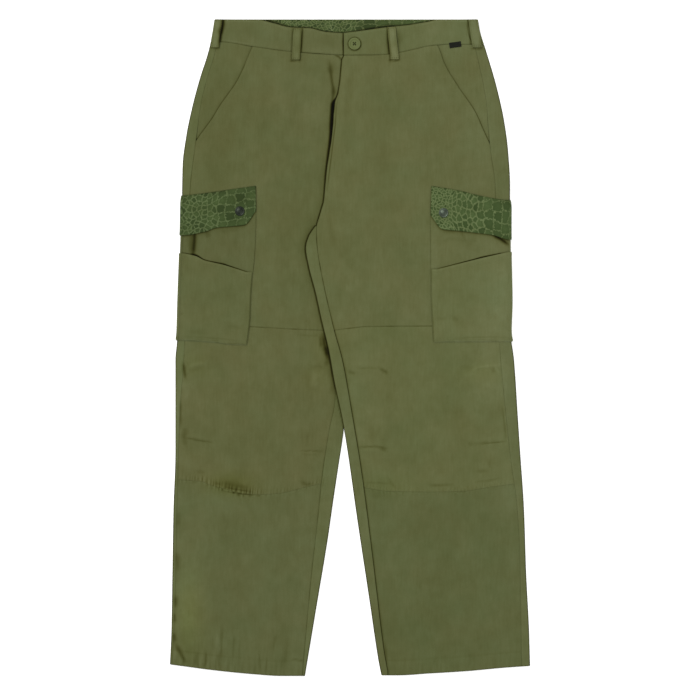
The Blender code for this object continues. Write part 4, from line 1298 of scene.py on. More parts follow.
def bandTop(side, x, drop):
    # upper face of the waistband, and how light it is
    x, drop = np.broadcast_arrays(x, drop)
    height = curve(bandLook["heights"][side], x)
    height += 0.16 * noise(x, drop, 24, 60, 81) + 0.05 * noise(x, drop, 7, 9, 82)
    light = 1 + drapeLook["mottle"] * noise(x, drop, 26, 18, 83)
    light *= strokeField(bandShades[side], x, drop)[1]
    if side == "left":
        # thin shade round the button
        buttonX, buttonDrop, radius, *shade = bandLook["buttonShade"]
        light *= shadeAt(np.hypot(x - buttonX, drop - buttonDrop) - radius, *shade)
    return height, light


def waistbandHalf(side):
    way = outward(side)
    radius = bandLook["height"] / 2
    backDepth = levelAt(side, "waistBack", outerX(side, 36)) + form["backLap"]
    shares = marks(*bandLook["down"])[:, None]
    edgeDrop = shares * backDepth
    edge = outerX(side, edgeDrop)
    turn = edge - way * radius
    start = bandLook["ends"][side] + way * halfGap
    # finer at its end and where the other half's end lies over it
    across = marks(*bandLook["front"], (atStart, (bandLook["lap"], 3, 0.5)))
    x = mix(start, turn, across[None, :])
    top = levelAt(side, "bandTop", x)
    bottom = levelAt(side, "waist", x) - halfGap
    drop = mix(top, bottom, shares)
    z, light = bandTop(side, x, drop)
    z = mix(z, bandLook["height"], fall(abs(x - turn), 0, 6))
    roundX, roundZ = turnRound(way, len(shares))
    backX = mix(turn, bandLook["centreBack"] + way * halfGap, marks(*bandLook["back"])[None, :])
    backEnd = levelAt(side, "waistBack", backX) + form["backLap"]
    xs, drops, zs, lights, outX, outZ = joined(
        (x, drop, z, light, 0, 1),
        (turn + roundX * radius, edgeDrop, radius + roundZ * radius, 1, roundX, roundZ),
        (backX, mix(0, backEnd, shares), 0, 1, 0, -1),
    )
    down = np.minimum(drops - drops[:1], drops[-1:] - drops)
    fromEdge = np.minimum(down, abs(xs - start) + np.where(outZ > 0.9, 0, 99))
    roll = bandLook["roll"] * bell(fromEdge, bandLook["rollWidth"])
    uneven = 1 + 0.8 * noise(xs, drops, 12, 30, 85)
    # painted shade along its edges, and a painted highlight just below its top edge
    lights *= shadeAt(fromEdge, bandLook["edgeShade"] * uneven, bandLook["edgeWidth"])
    lights *= 1 + 0.09 * uneven * bell(down - 2.6, 1.1) * (drops < 40) * (outZ > 0.9)
    ripple = 0.12 * noise(xs, drops, 5, 5, 84) * bell(down - 3, 4) * (outZ > -0.5)
    depth = bandLook["cloth"] - 0.5 * roll
    outer = world(xs + outX * (ripple - roll), drops, zs + outZ * (ripple - roll))
    inner = world(xs - outX * depth, drops, zs - outZ * depth)
    return clothObject(f"waistband_{side}_cloth", outer, inner, lights)


printCells = {
    # piece: zone along it as (place, zone), then cell width and height in mm as (zone, size);
    # zone 0 has large cells, 1 middling ones and 2 small ones
    "right": (
        ((-62, 2), (34, 2), (52, 1), (70, 0), (119, 0)),
        ((0, 16), (1, 10.5), (2, 7.6)), ((0, 13.5), (1, 9.5), (2, 7.4)),
    ),
    "left": (
        ((-62, 0), (30, 0), (58, 1), (80, 1), (98, 2), (127, 2)),
        ((0, 13.5), (1, 8), (2, 5.4)), ((0, 17), (1, 11), (2, 5)),
    ),
    "facing": (
        ((-150, 2), (-20, 2), (6, 1), (30, 0), (144, 0)),
        ((0, 19), (1, 8.5), (2, 5.6)), ((0, 8), (1, 7), (2, 5)),
    ),
}
printMiddle = 30


def printPlaces(piece, along, down):
    # places on the print counted in cells, which shrink steadily along it, and its zone
    zones, widths, heights = printCells[piece]
    sway = 1.6 * noise(along, down, 26, 18, 95)
    steps = np.linspace(zones[0][0] - 10, zones[-1][0] + 10, 400)
    counts = 1 / curve(widths, curve(zones, steps))
    total = np.concatenate(([0], np.cumsum((counts[1:] + counts[:-1]) / 2 * np.diff(steps))))
    zone = curve(zones, along)
    across = np.interp(along + sway, steps, total)
    lengthwise = (down + sway - printMiddle) / curve(heights, zone)
    return np.stack((across, lengthwise, zone), axis=-1)


facingLook = {
    "ends": (-150, 144),
    "drops": (0.6, 35),
    "low": 2.3,
    "cloth": 0.8,
    "step": 1.6,
    "shadeWidth": (
        (-150, 1.6), (-128, 4.2), (-104, 2.6), (-84, 1.8), (0, 1.8), (24, 2.8), (62, 3.6),
        (80, 1.8), (144, 1.4),
    ),
    "shade": 0.85,
    "topShade": (0.25, 1.6),
}


def waistbandFacing():
    across = marks(294, facingLook["step"])
    down = marks(34.4, facingLook["step"])
    x = mix(*facingLook["ends"], across)[None, :] + 0 * down[:, None]
    drop = mix(*facingLook["drops"], down)[:, None] + 0 * x
    # painted shadow cast by the front band's top edge, and painted shade along the facing's top
    frontTop = np.where(x < -9, levelAt("right", "bandTop", x), levelAt("left", "bandTop", x))
    away = np.maximum(frontTop - drop, 0)
    reach = curve(facingLook["shadeWidth"], x)
    light = 1 - facingLook["shade"] * fall(away, 0.2 * reach, 1.7 * reach)
    light *= shadeAt(drop, *facingLook["topShade"]) * (1 + 0.12 * noise(x, drop, 14, 9, 91))
    z = facingLook["low"] + 0.12 * noise(x, drop, 18, 9, 92)
    outer = world(x, drop, z + facingLook["cloth"] - 0.3 * bell(drop - 0.6, 1))
    inner = world(x, drop, z)
    place = printPlaces("facing", x, drop)
    return clothObject("waistband_facing_cloth", outer, inner, light, place=place)


def pocketPiece(side, part):
    # from its front edge on top round onto the back
    way = outward(side)
    inset, lay, cloth = pocketParts[part][4:7]
    step = pocketLook["step"]
    front = frontReach(side)
    depth = partDrop(side, part, 60, 1) - partDrop(side, part, 60, 0)
    close = [(0, 2, 0.45), (None, 2, 0.45)]
    if part == "cargo":
        close.append((depth * pocketLook["mouthShare"], 4, 0.5))
    shares = marks(depth, step, close)[:, None]
    reaches = mix(front, 0, marks(front, step, ((0, 2, 0.45),)))[None, :]
    drop = partDrop(side, part, 0, shares)
    edge = outerX(side, drop)
    radius = edgeRadius(side, edge, drop)
    offset = curve(lay, shares)
    # on top, down to where the edge starts to turn
    onTop = mix(radius, front, reaches / front)
    x, dropTop = partPlace(side, part, onTop, shares)
    z, thick, light = partTop(side, part, x, dropTop, shares + 0 * onTop, onTop)
    plain = 2 * radius + offset + cloth
    z = mix(z, np.maximum(z, plain), fall(onTop, 2, 22))
    # round the edge
    roundX, roundZ = turnRound(way, len(shares))
    turn = edge - way * radius
    middle = underHeight(side, edge, drop) + radius + (z[:, -1:] - plain) * (roundZ + 1) / 2
    small, size = radius + offset, radius + offset + cloth
    # on the back
    backSteps = marks(pocketLook["reachBack"], 4, ((None, 2, 0.6),))[None, :]
    backReach = mix(radius, pocketLook["reachBack"] - inset, backSteps)
    dropBack = partDrop(side, part, -backReach, shares)
    xBack = outerX(side, dropBack) - way * backReach
    zBack = underHeight(side, xBack, dropBack) - offset
    x, z, innerX, innerZ, drops, lights, reach, wayX, wayZ, shares = joined(
        (x, z, x, z - thick, dropTop, light, onTop, 0, 1, shares),
        (
            turn + roundX * size, middle + roundZ * size, turn + roundX * small,
            middle + roundZ * small, drop, 1, 0, roundX, roundZ, shares,
        ),
        (xBack, zBack - cloth, xBack, zBack, dropBack, 1, -backReach, 0, -1, shares),
    )
    edges = edgesOf(world(x, drops, z), seamStrengths[part])
    roll, rollLight = seamRoll(x, drops, edges)
    roll = np.where(wayZ < -0.5, np.minimum(roll, 0), roll)
    lights *= rollLight
    if part == "slip":
        # a lit rim along its free top edge
        lights *= 1 + 0.05 * bell(edges[2][0] - 2, 2)
    place = None
    if part == "flap":
        place = printPlaces(side, reach, drops - curve(pockets[side]["flapTop"], reach))
        lights *= 1 + 0.1 * noise(x, drops, 30, 16, 97)
        # painted shade along the flap's top edge
        lights *= shadeAt(shares * 65, 0.16, 3)
    outer = world(x + wayX * roll, drops, z + wayZ * roll)
    name = f"{pocketParts[part][-1]}_{side}_cloth"
    return clothObject(name, outer, world(innerX, drops, innerZ), lights, place=place)


loopLook = {
    "cloth": 1.5,
    "rise": 2,
    "steps": 72,
    "gap": 0.3,
    # hollows and swells in from its folded sides and its ends: how far in, width and height
    "sides": ((0, 0.7, -0.55), (2.3, 0.8, -0.22), (5, 2, 0.1)),
    "ends": ((0, 0.7, -0.5), (2.6, 1.1, -0.25)),
    # name: (side, top x, top drop, bottom x, bottom drop, width)
    "belt_loop_front_right": ("right", -82.5, 14.5, -85.8, 65, 13.5),
    "belt_loop_front_left": ("left", 66.9, 12.5, 72.5, 64.5, 13.5),
    "belt_loop_side_right": ("right", -208.6, 0.6, -215, 45.5, 14),
    "belt_loop_side_left": ("left", 197.4, 0.6, 204.6, 45.5, 15.5),
}
loopShades = {
    # sides in the shade: half width, no height, darkness and points
    "belt_loop_side_right": loopTurn,
    "belt_loop_front_right": (1.3, 0, 0.6, (-76.5, 6), (-77.5, 40), (-79.5, 66)),
    "belt_loop_front_left": (1.3, 0, 0.5, (61, 6), (63.5, 40), (66.5, 66)),
}
loopNames = [name for name in loopLook if name.startswith("belt")]


def carrierHeight(side, x, drop):
    onBand = drop < levelAt(side, "waist", x) + 2
    return np.where(onBand, bandTop(side, x, drop)[0], legTop(side, x, drop)[0])


def loopHeight(name, share):
    # underside of a belt loop along its length, above everything beneath its width
    side, topX, topDrop, bottomX, bottomDrop, width = loopLook[name]
    middle, drop = mix(topX, bottomX, share), mix(topDrop, bottomDrop, share)
    spots = [carrierHeight(side, middle + offset * width, drop) for offset in (-0.5, 0, 0.5)]
    seat = np.maximum.reduce(spots)
    # evened out over five steps each way
    near = np.arange(len(seat)) + np.arange(-5, 6)[:, None]
    seat = np.mean(seat[np.clip(near, 0, len(seat) - 1)], axis=0)
    arch = loopLook["rise"] * abs(np.sin(math.pi * share)) ** 0.7
    return seat + loopLook["gap"] + arch


def beltLoop(name):
    side, topX, topDrop, bottomX, bottomDrop, width = loopLook[name]
    shares = np.linspace(0, 1, loopLook["steps"] + 1)
    across = marks(width, 0.8, ((0, 0.8, 0.35), (None, 0.8, 0.35)))
    low = loopHeight(name, shares)[:, None]
    middle, drop = mix(topX, bottomX, shares)[:, None], mix(topDrop, bottomDrop, shares)[:, None]
    offset = (across[None, :] - 0.5) * width
    waver = 0.25 * noise(drop, drop * 0, 14, 9, 101)
    x = middle + offset + waver
    drops = drop + 0 * x
    fromSide = width / 2 - abs(offset)
    ends = np.minimum(shares, 1 - shares)[:, None] * (bottomDrop - topDrop)
    shape = 0
    for away, rows in ((fromSide, loopLook["sides"]), (ends, loopLook["ends"])):
        for at, reach, height in rows:
            shape = shape + height * bell(away - at, reach)
    ripple = 0.14 * noise(x, drops, 4, 6, 102)
    z = low + loopLook["cloth"] + shape + ripple
    # painted shade along its folded sides and its ends, and a faint line of it inside each side
    light = shadeAt(fromSide, 0.3, 0.7) * shadeAt(ends, 0.3, 0.9) + 0 * x
    light *= 1 + 0.08 * noise(x, drops, 6, 8, 103)
    light *= shadeAt(fromSide - 2.3, 0.1, 0.8)
    if name in loopShades:
        light *= strokeField([loopShades[name]], x, drops)[1]
    return clothObject(f"{name}_cloth", world(x, drops, z), world(x, drops, low + 0 * x), light)


buttonLook = {
    "at": (8, 39.5),
    "segments": 96,
    "holeCircle": 2.3,
    "holeRadius": 1.1,
    "profile": (
        (0, 0), (8.2, 0), (9, 0.35), (9.5, 0.9), (9.75, 1.5), (9.7, 2), (9.4, 2.55), (8.9, 2.8),
        (8.3, 2.85), (7.7, 2.75), (7.2, 2.55), (6.6, 2.15), (6.1, 1.9), (5.4, 1.8), (5, 1.78),
        (4, 1.78), (0, 1.78),
    ),
    "threads": ((45, 225), (135, 315)),
    "threadRadius": 0.22,
}
snapLook = {
    "at": {"right": (-175.2, 306.9), "left": (150.4, 309.6)},
    "segments": 72,
    "profile": (
        (0, 0), (7.3, 0), (7.6, 0.3), (7.7, 0.6), (7.6, 0.95), (7.2, 1.2), (6.7, 1.3), (6.2, 1.22),
        (5.9, 1.05), (5.6, 1), (5.2, 1.1), (4.6, 1.45), (3.8, 1.75), (2.6, 1.98), (1.3, 2.08),
        (0, 2.1),
    ),
}


def turned(name, profile, centres, segments, lean=(0, 0), smooth=True):
    # round pieces from (radius, height) rows, leaning with the cloth under them
    builder = bmesh.new()
    for x, drop, base in centres:
        rings = []
        for radius, height in profile:
            ring = []
            for step in range(segments if radius else 1):
                turn = 2 * math.pi * step / segments
                along, down = radius * math.cos(turn), -radius * math.sin(turn)
                z = base + height + lean[0] * along + lean[1] * down
                ring.append(builder.verts.new(world(x + along, drop + down, z)))
            rings.append(ring)
        for lower, upper in zip(rings, rings[1:]):
            for step in range(segments):
                ahead = (step + 1) % segments
                corners = [lower[step % len(lower)], lower[ahead % len(lower)]]
                corners += [upper[ahead % len(upper)], upper[step % len(upper)]]
                builder.faces.new(list(dict.fromkeys(corners)))
    bmesh.ops.recalc_face_normals(builder, faces=builder.faces)
    mesh = bpy.data.meshes.new(name)
    builder.to_mesh(mesh)
    builder.free()
    mesh.polygons.foreach_set("use_smooth", np.full(len(mesh.polygons), smooth))
    return linked(name, mesh)


def buttonHole(turn):
    # place of one of the button's holes
    (x, drop), circle = buttonLook["at"], buttonLook["holeCircle"]
    return x + circle * math.cos(math.radians(turn)), drop + circle * math.sin(math.radians(turn))


def buttonBase():
    x, drop = buttonLook["at"]
    around = np.linspace(0, 2 * math.pi, 16, endpoint=False)
    return np.max(bandTop("left", x + 10 * np.cos(around), drop + 10 * np.sin(around))[0]) + 0.15


def waistButton():
    base = buttonBase()
    centre = (*buttonLook["at"], base)
    button = turned("waist_button_fine", buttonLook["profile"], [centre], buttonLook["segments"])
    centres = [(*buttonHole(turn), base) for turn in (45, 135, 225, 315)]
    radius = buttonLook["holeRadius"]
    hole = ((0, -1), (radius, -1), (radius, 4), (0, 4))
    cutter = turned("button_holes", hole, centres, 24, smooth=False)
    cut = button.modifiers.new("holes", "BOOLEAN")
    cut.operation = "DIFFERENCE"
    cut.solver = "EXACT"
    cut.object = cutter
    bpy.context.view_layer.update()
    evaluated = button.evaluated_get(bpy.context.evaluated_depsgraph_get())
    finished = bpy.data.meshes.new_from_object(evaluated)
    button.modifiers.clear()
    button.data = finished
    bpy.data.objects.remove(cutter)
    return button


def snapCap(side):
    x, drop = snapLook["at"][side]
    around = np.linspace(0, 2 * math.pi, 24, endpoint=False)
    rim = max(radius for radius, height in snapLook["profile"])
    xs, drops = x + rim * np.cos(around), drop + rim * np.sin(around)
    heights = partHeightAt(side, "flap")(xs, drops)
    leanX = (np.mean(heights * np.cos(around)) * 2 / rim)
    leanDrop = (np.mean(heights * np.sin(around)) * 2 / rim)
    base = np.mean(heights) - 0.1
    name, segments = f"snap_cap_{side}_fine", snapLook["segments"]
    return turned(name, snapLook["profile"], [(x, drop, base)], segments, (leanX, leanDrop))


tabLook = {
    "at": (169, 40.8),
    "turn": 8,
    "size": (19, 8.5, 0.8),
    # how its sides, its fold and its top turn down, as (height, reach)
    "rolls": ((0.3, 0.4), (0.3, 0.5), (0.2, 0.4)),
}


def waistTab():
    # folded tape, rounded at the fold along its bottom
    x, drop = tabLook["at"]
    width, depth, thick = tabLook["size"]
    turn = math.radians(tabLook["turn"])
    base = np.max(bandTop("left", np.linspace(x - 9, x + 9, 12), drop)[0]) + 0.1
    along = (marks(width, 0.5) - 0.5) * width
    down = (marks(depth, 0.4) - 0.5) * depth
    a, d = np.broadcast_arrays(along[None, :], down[:, None])
    placeX = x + a * math.cos(turn) + d * math.sin(turn)
    placeDrop = drop - a * math.sin(turn) + d * math.cos(turn)
    side = width / 2 - abs(a)
    z = base + thick + 0.12 * noise(a, d, 5, 4, 111)
    for (height, reach), away in zip(tabLook["rolls"], (side, depth / 2 - d, d + depth / 2)):
        z = z - height * bell(away, reach)
    # painted highlight along its rolled sides
    light = 1 + 0.4 * bell(side - 0.7, 0.4) + 0 * a
    under = world(placeX, placeDrop, base)
    return clothObject("waist_tab_cloth", world(placeX, placeDrop, z), under, light)


stitchLook = {
    "length": 2.6,
    "gap": 0.8,
    "width": 0.42,
    "height": 0.2,
    "sink": 0.25,
}


def spaced(points, pitch):
    # evenly spaced places along a line of (x, drop) points
    run = runAlong(points)
    places = np.arange(0.5 * pitch, run[-1] - 0.4 * pitch, pitch)
    return np.stack([np.interp(places, run, row) for row in points.T], axis=1)


def stitchObject(name, lines):
    # each line is (points as (x, drop), heights at given places); stitches are small spindles
    points, faces = [], []
    pitch = stitchLook["length"] + stitchLook["gap"]
    count = 0
    shape = ((-0.5, 0, -1), (0, -0.5, 0), (0, 0, 1), (0, 0.5, 0), (0, 0, -1), (0.5, 0, -1))
    quads = np.array([(0, 1, 4, 3), (0, 3, 2, 1), (5, 1, 2, 3), (5, 3, 4, 1)])
    for number, (line, heightAt) in enumerate(lines):
        spots = spaced(line, pitch)
        way = np.gradient(spots, axis=0)
        way /= np.linalg.norm(way, axis=1)[:, None]
        random = np.random.default_rng(500 + number)
        lengths = stitchLook["length"] * random.uniform(0.88, 1.08, len(spots))
        turns = random.uniform(-0.06, 0.06, len(spots))
        x, drop = spots.T
        wayX, wayDrop = way[:, 0] - turns * way[:, 1], way[:, 1] + turns * way[:, 0]
        z = heightAt(x, drop)
        low, high = z - stitchLook["sink"], z + stitchLook["height"]
        levels = {-1: low, 0: (low + high) / 2 + 0.05, 1: high}
        for along, across, level in shape:
            along, across = along * lengths, across * stitchLook["width"]
            px = x + wayX * along - wayDrop * across
            pd = drop + wayDrop * along + wayX * across
            points.append(world(px, pd, levels[level]))
        base = count + np.arange(len(spots))[:, None, None]
        faces.append((base + quads[None] * len(spots)).reshape(-1, 4))
        count += 6 * len(spots)
    allPoints = np.concatenate(points)
    light = 1 + 0.12 * np.random.default_rng(9).uniform(-1, 1, len(allPoints))
    return meshObject(name, allPoints, np.concatenate(faces), {"shade": light}, smooth=False)


def alongEdge(side, line, inset, start, end):
    # line of places beside a lengthwise edge, inset towards the middle of the leg
    drops = np.linspace(start, end, 60)
    return np.stack((line(side, drops) - outward(side) * inset, drops), axis=1)


def acrossLevel(side, name, moved, inset):
    # line of places beside a crosswise seam, from near the outer edge to near the inner one
    middle = levelAt(side, name, form["legMiddle"] * outward(side))
    start = outseamX(side, middle) - outward(side) * inset
    end = inseamX(side, middle) + outward(side) * inset
    xs = np.linspace(start, end, 60)
    return np.stack((xs, levelAt(side, name, xs) + moved), axis=1)


def partLine(side, part, reaches, down):
    # line across a pocket piece, so many mm down from its top, or up from its bottom if negative
    depth = partDrop(side, part, reaches, 1) - partDrop(side, part, reaches, 0)
    share = down / depth if down >= 0 else 1 + down / depth
    return np.stack(partPlace(side, part, reaches, share), axis=1)


def partDown(side, part, reach, startShare, endShare):
    shares = np.linspace(startShare, endShare, 40)
    return np.stack(partPlace(side, part, np.full(40, float(reach)), shares), axis=1)


def partHeightAt(side, part):
    # upper face of a pocket piece at places given as x and drop
    def heightAt(x, drop):
        reach = (outerX(side, drop) - x) * outward(side) / partScale(side, part, drop)
        top, bottom = partDrop(side, part, reach, 0), partDrop(side, part, reach, 1)
        return partTop(side, part, x, drop, (drop - top) / (bottom - top), reach)[0]

    return heightAt


def smoothLine(points, count=120):
    rows = np.array(points, float)
    run = runAlong(rows)
    places = np.linspace(0, run[-1], count)
    return np.stack([curve(np.stack((run, row), axis=1), places) for row in rows.T], axis=1)


seamRows = {
    # insets from the front edge, and ways down from the top, or up from the bottom if negative
    "band": (("bandTop", 1.9), ("waist", -2)),
    "cargoFront": 1.8,
    "slipFront": (3.3, 8.3),
    "slipAcross": (10, -6.5),
    "flapFront": 5.6,
    "flapAcross": (1.8, -5.6),
    "loopInset": 2.2,
    "barTack": (-0.45, 0, 0.45),
    # insets of the stitch rows beside the edges and seams, and the drops they run between
    "slashInsets": (1.8, 6.8),
    "slash": (50, 214),
    "beside": 1.8,
    "hemDepth": 24,
    "inseam": (345, 1036),
    "outseam": ((524, 1028), (218, 262)),
    "rise": (60, 326),
    # the curved row that holds the fly, as (x, drop)
    "fly": (
        (27, 60), (25, 100), (22, 140), (18, 175), (10, 203), (-4, 222), (-20, 233), (-33, 238),
    ),
}


def panelStitches(side):
    beside = seamRows["beside"]

    def leg(x, drop):
        return legTop(side, x, drop)[0]

    def slash(x, drop):
        return leg(x, drop) + panelRise(side, "front_thigh", x, drop)

    lines = [
        (alongEdge(side, frontEdgeX, inset, *seamRows["slash"]), slash)
        for inset in seamRows["slashInsets"]
    ]
    lines += [
        (acrossLevel(side, "thighSeam", beside, 4), leg),
        (acrossLevel(side, "kneeSeam", -beside, 4), leg),
        (acrossLevel(side, "hem", -seamRows["hemDepth"], 3), leg),
        (alongEdge(side, inseamX, -beside, *seamRows["inseam"]), leg),
    ]
    lines += [(alongEdge(side, outseamX, beside, *drops), leg) for drops in seamRows["outseam"]]
    if side == "left":
        lines.append((alongEdge(side, frontRiseX, -beside, *seamRows["rise"]), leg))
        lines.append((smoothLine(seamRows["fly"]), leg))
    return stitchObject(f"panel_stitches_{side}", lines)


def bandStitches(side):
    def height(x, drop):
        return bandTop(side, x, drop)[0]

    start = bandLook["ends"][side] + outward(side) * 3
    end = outerX(side, 20) - outward(side) * 5
    xs = np.linspace(start, end, 90)
    lines = [
        (np.stack((xs, levelAt(side, name, xs) + moved), axis=1), height)
        for name, moved in seamRows["band"]
    ]
    if side == "left":
        drops = np.linspace(25, 54, 20)
        lines.append((np.stack((np.full(20, start - 1), drops), axis=1), height))
    return stitchObject(f"waistband_stitches_{side}", lines)


def pocketStitches(side):
    front = frontReach(side)
    cargo, slip = partHeightAt(side, "cargo"), partHeightAt(side, "slip")
    reaches = np.linspace(6, front - 3, 60)
    lines = [(partDown(side, "cargo", front - seamRows["cargoFront"], 0.3, 0.43), cargo)]
    for inset in seamRows["slipFront"]:
        lines.append((partDown(side, "slip", front - inset, 0.03, 0.97), slip))
    lines += [(partLine(side, "slip", reaches, down), slip) for down in seamRows["slipAcross"]]
    return stitchObject(f"pocket_stitches_{side}", lines)


def flapStitches(side):
    front = frontReach(side)
    height = partHeightAt(side, "flap")
    reaches = np.linspace(6, front - 6, 60)
    lines = [(partLine(side, "flap", reaches, down), height) for down in seamRows["flapAcross"]]
    lines.append((partDown(side, "flap", front - seamRows["flapFront"], 0.06, 0.84), height))
    return stitchObject(f"flap_stitches_{side}", lines)


def loopStitches(name):
    side, topX, topDrop, bottomX, bottomDrop, width = loopLook[name]
    shares = np.linspace(0, 1, loopLook["steps"] + 1)
    heights = loopHeight(name, shares) + loopLook["cloth"] - 0.05

    def heightAt(x, drop):
        return np.interp(drop, mix(topDrop, bottomDrop, shares), heights)

    lines = []
    half = 0.5 * width - seamRows["loopInset"]
    for offset in (-half, half):
        start, end = (topX + offset, topDrop + 3), (bottomX + offset, bottomDrop - 3)
        lines.append((np.linspace(start, end, 3), heightAt))
    for x, drop in ((topX, topDrop + 2.4), (bottomX, bottomDrop - 2.6)):
        for row in seamRows["barTack"]:
            # bar tack: close rows across the loop
            ends = (x - 0.44 * width, drop + row), (x + 0.44 * width, drop + row)
            lines.append((np.linspace(*ends, 3), heightAt))
    return stitchObject(f"{name}_stitches", lines)


def buttonThreads():
    # two crossed bundles of thread through the button's holes
    base = buttonBase()
    bundles = bpy.data.curves.new("waist_button_thread", "CURVE")
    bundles.dimensions = "3D"
    bundles.bevel_depth = buttonLook["threadRadius"] / 1000
    bundles.bevel_resolution = 2
    for holes in buttonLook["threads"]:
        start, end = (np.array(buttonHole(turn)) for turn in holes)
        turn = math.radians(holes[0] + 90)
        for shift in (-0.35, 0, 0.35):
            aside = shift * np.array((math.cos(turn), math.sin(turn)))
            spline = bundles.splines.new("POLY")
            spline.points.add(6)
            for i, share in enumerate(np.linspace(0, 1, 7)):
                lift = 2 + 0.35 * math.sin(math.pi * share) - (1.2 if i in (0, 6) else 0)
                x, drop = mix(start, end, share) + aside
                spline.points[i].co = (*world(x, drop, base + lift), 1)
    drawn = bpy.data.objects.new("waist_button_thread_curve", bundles)
    mesh = bpy.data.meshes.new_from_object(drawn)
    bpy.data.objects.remove(drawn)
    shade = mesh.attributes.new("shade", "FLOAT", "POINT")
    shade.data.foreach_set("value", [1] * len(mesh.vertices))
    return linked("waist_button_thread", mesh)


class Paint:
    # a new material, with short ways to add and join its nodes
    def __init__(self, name):
        self.made = bpy.data.materials.new(name)
        self.made.use_nodes = True
        self.tree = self.made.node_tree
        self.place = self.node("TexCoord").outputs["Object"]

    def put(self, socket, value):
        if isinstance(value, bpy.types.NodeSocket):
            self.tree.links.new(value, socket)
        else:
            socket.default_value = value

    def node(self, kind, inputs=(), **settings):
        new = self.tree.nodes.new("ShaderNode" + kind)
        for name, value in settings.items():
            setattr(new, name, value)
        for key, value in dict(inputs).items():
            self.put(new.inputs[key], value)
        return new

    def maths(self, operation, *values):
        return self.node("Math", enumerate(values), operation=operation).outputs[0]

    def times(self, first, second):
        return self.maths("MULTIPLY", first, second)

    def scaled(self, value, slope, start):
        return self.maths("MULTIPLY_ADD", value, slope, start)

    def noise(self, look, place=None, output="Fac", **more):
        # look is the noise's scale and detail
        inputs = {"Vector": place or self.place, "Scale": look[0], "Detail": look[1], **more}
        return self.node("TexNoise", inputs).outputs[output]

    def ribs(self, pitch, direction, place=None, **more):
        # even waves, the pitch in millimetres
        scale = 2 * math.pi / (10 * pitch / 1000)
        inputs = {"Vector": place or self.place, "Scale": scale}
        inputs.update({name.replace("_", " "): value for name, value in more.items()})
        return self.node("TexWave", inputs, bands_direction=direction).outputs["Fac"]

    def moved(self, **change):
        return self.node("Mapping", {"Vector": self.place, **change}).outputs[0]

    def attribute(self, name, output="Fac"):
        return self.node("Attribute", attribute_name=name).outputs[output]

    def mixed(self, share, first, second, blend="MIX"):
        inputs = {0: share, 6: first, 7: second}
        return self.node("Mix", inputs, data_type="RGBA", blend_type=blend).outputs[2]

    def shaded(self, colour, factor, redPower, bluePower):
        # the darker, the yellower
        red, blue = self.maths("POWER", factor, redPower), self.maths("POWER", factor, bluePower)
        grey = self.node("CombineColor", {"Red": red, "Green": factor, "Blue": blue}).outputs[0]
        return self.mixed(1, colour, grey, "MULTIPLY")

    def finish(self, colour, sockets, height=None, strength=0, distance=0):
        # distance is the relief's depth in millimetres
        sockets = {"Base Color": colour, **sockets}
        if height is not None:
            relief = {"Height": height, "Strength": strength, "Distance": distance / 1000}
            sockets["Normal"] = self.node("Bump", relief).outputs[0]
        for name, value in sockets.items():
            self.put(self.tree.nodes["Principled BSDF"].inputs[name], value)
        return self.made


def linear(red, green, blue):
    def one(value):
        value /= 255
        return value / 12.92 if value <= 0.04045 else ((value + 0.055) / 1.055) ** 2.4

    return one(red), one(green), one(blue), 1


twillLook = {
    "base": (0.094, 0.102, 0.0384),
    "pitch": 0.95,
    "turn": -63,
    # how strongly each of the noises and the weave lighten and darken the cloth
    "weave": 0.05,
    "mottle": 0.13,
    "patch": 0.13,
    "streak": 0.1,
    "speckle": 0.18,
    "hue": 0.02,
    # scale and detail of the noises
    "yarns": (2600, 2),
    "streaks": (360, 3),
    "mottles": (26, 5),
    "patches": (70, 3),
    "tones": (17, 4),
    "warm": (1, 1, 0.72, 1),
    "roughness": 0.88,
    "shine": 0.08,
    "sheen": 0.05,
    "sheenTint": (0.75, 0.85, 0.4, 1),
    "bump": 0.35,
    "depth": 0.12,
    "thread": (0.86, 0.86, 0.84),
    "buttonThread": (0.4, 0.42, 0.38),
}
tints = {
    # tints of the base colour, right and left: painted light and shade, one copy of the twill per
    # piece
    "front_thigh": ((0.985, 0.98, 0.985), (1.03, 1.025, 1.03)),
    "knee_panel": ((0.995, 0.97, 0.97), (1.04, 1.05, 1.04)),
    "shin_panel": ((0.955, 0.97, 0.99), (0.93, 0.965, 0.955)),
    "back_panel": ((1.02, 1.055, 1.08), (1.04, 1.06, 1.09)),
    "hip_piece": ((0.97, 0.97, 0.97), (1.03, 1.03, 1.03)),
    "waistband": ((0.98, 0.98, 1), (1.02, 1.045, 1.05)),
    "cargo_pocket": ((0.905, 0.92, 0.93), (1.06, 1.07, 1.1)),
    "slip_pocket": ((0.97, 0.975, 0.98), (1.1, 1.12, 1.15)),
    "belt_loop_front": ((1.05, 1.06, 1.08), (1.28, 1.28, 1.42)),
    "belt_loop_side": ((1.24, 1.25, 1.38), (1.13, 1.15, 1.22)),
}


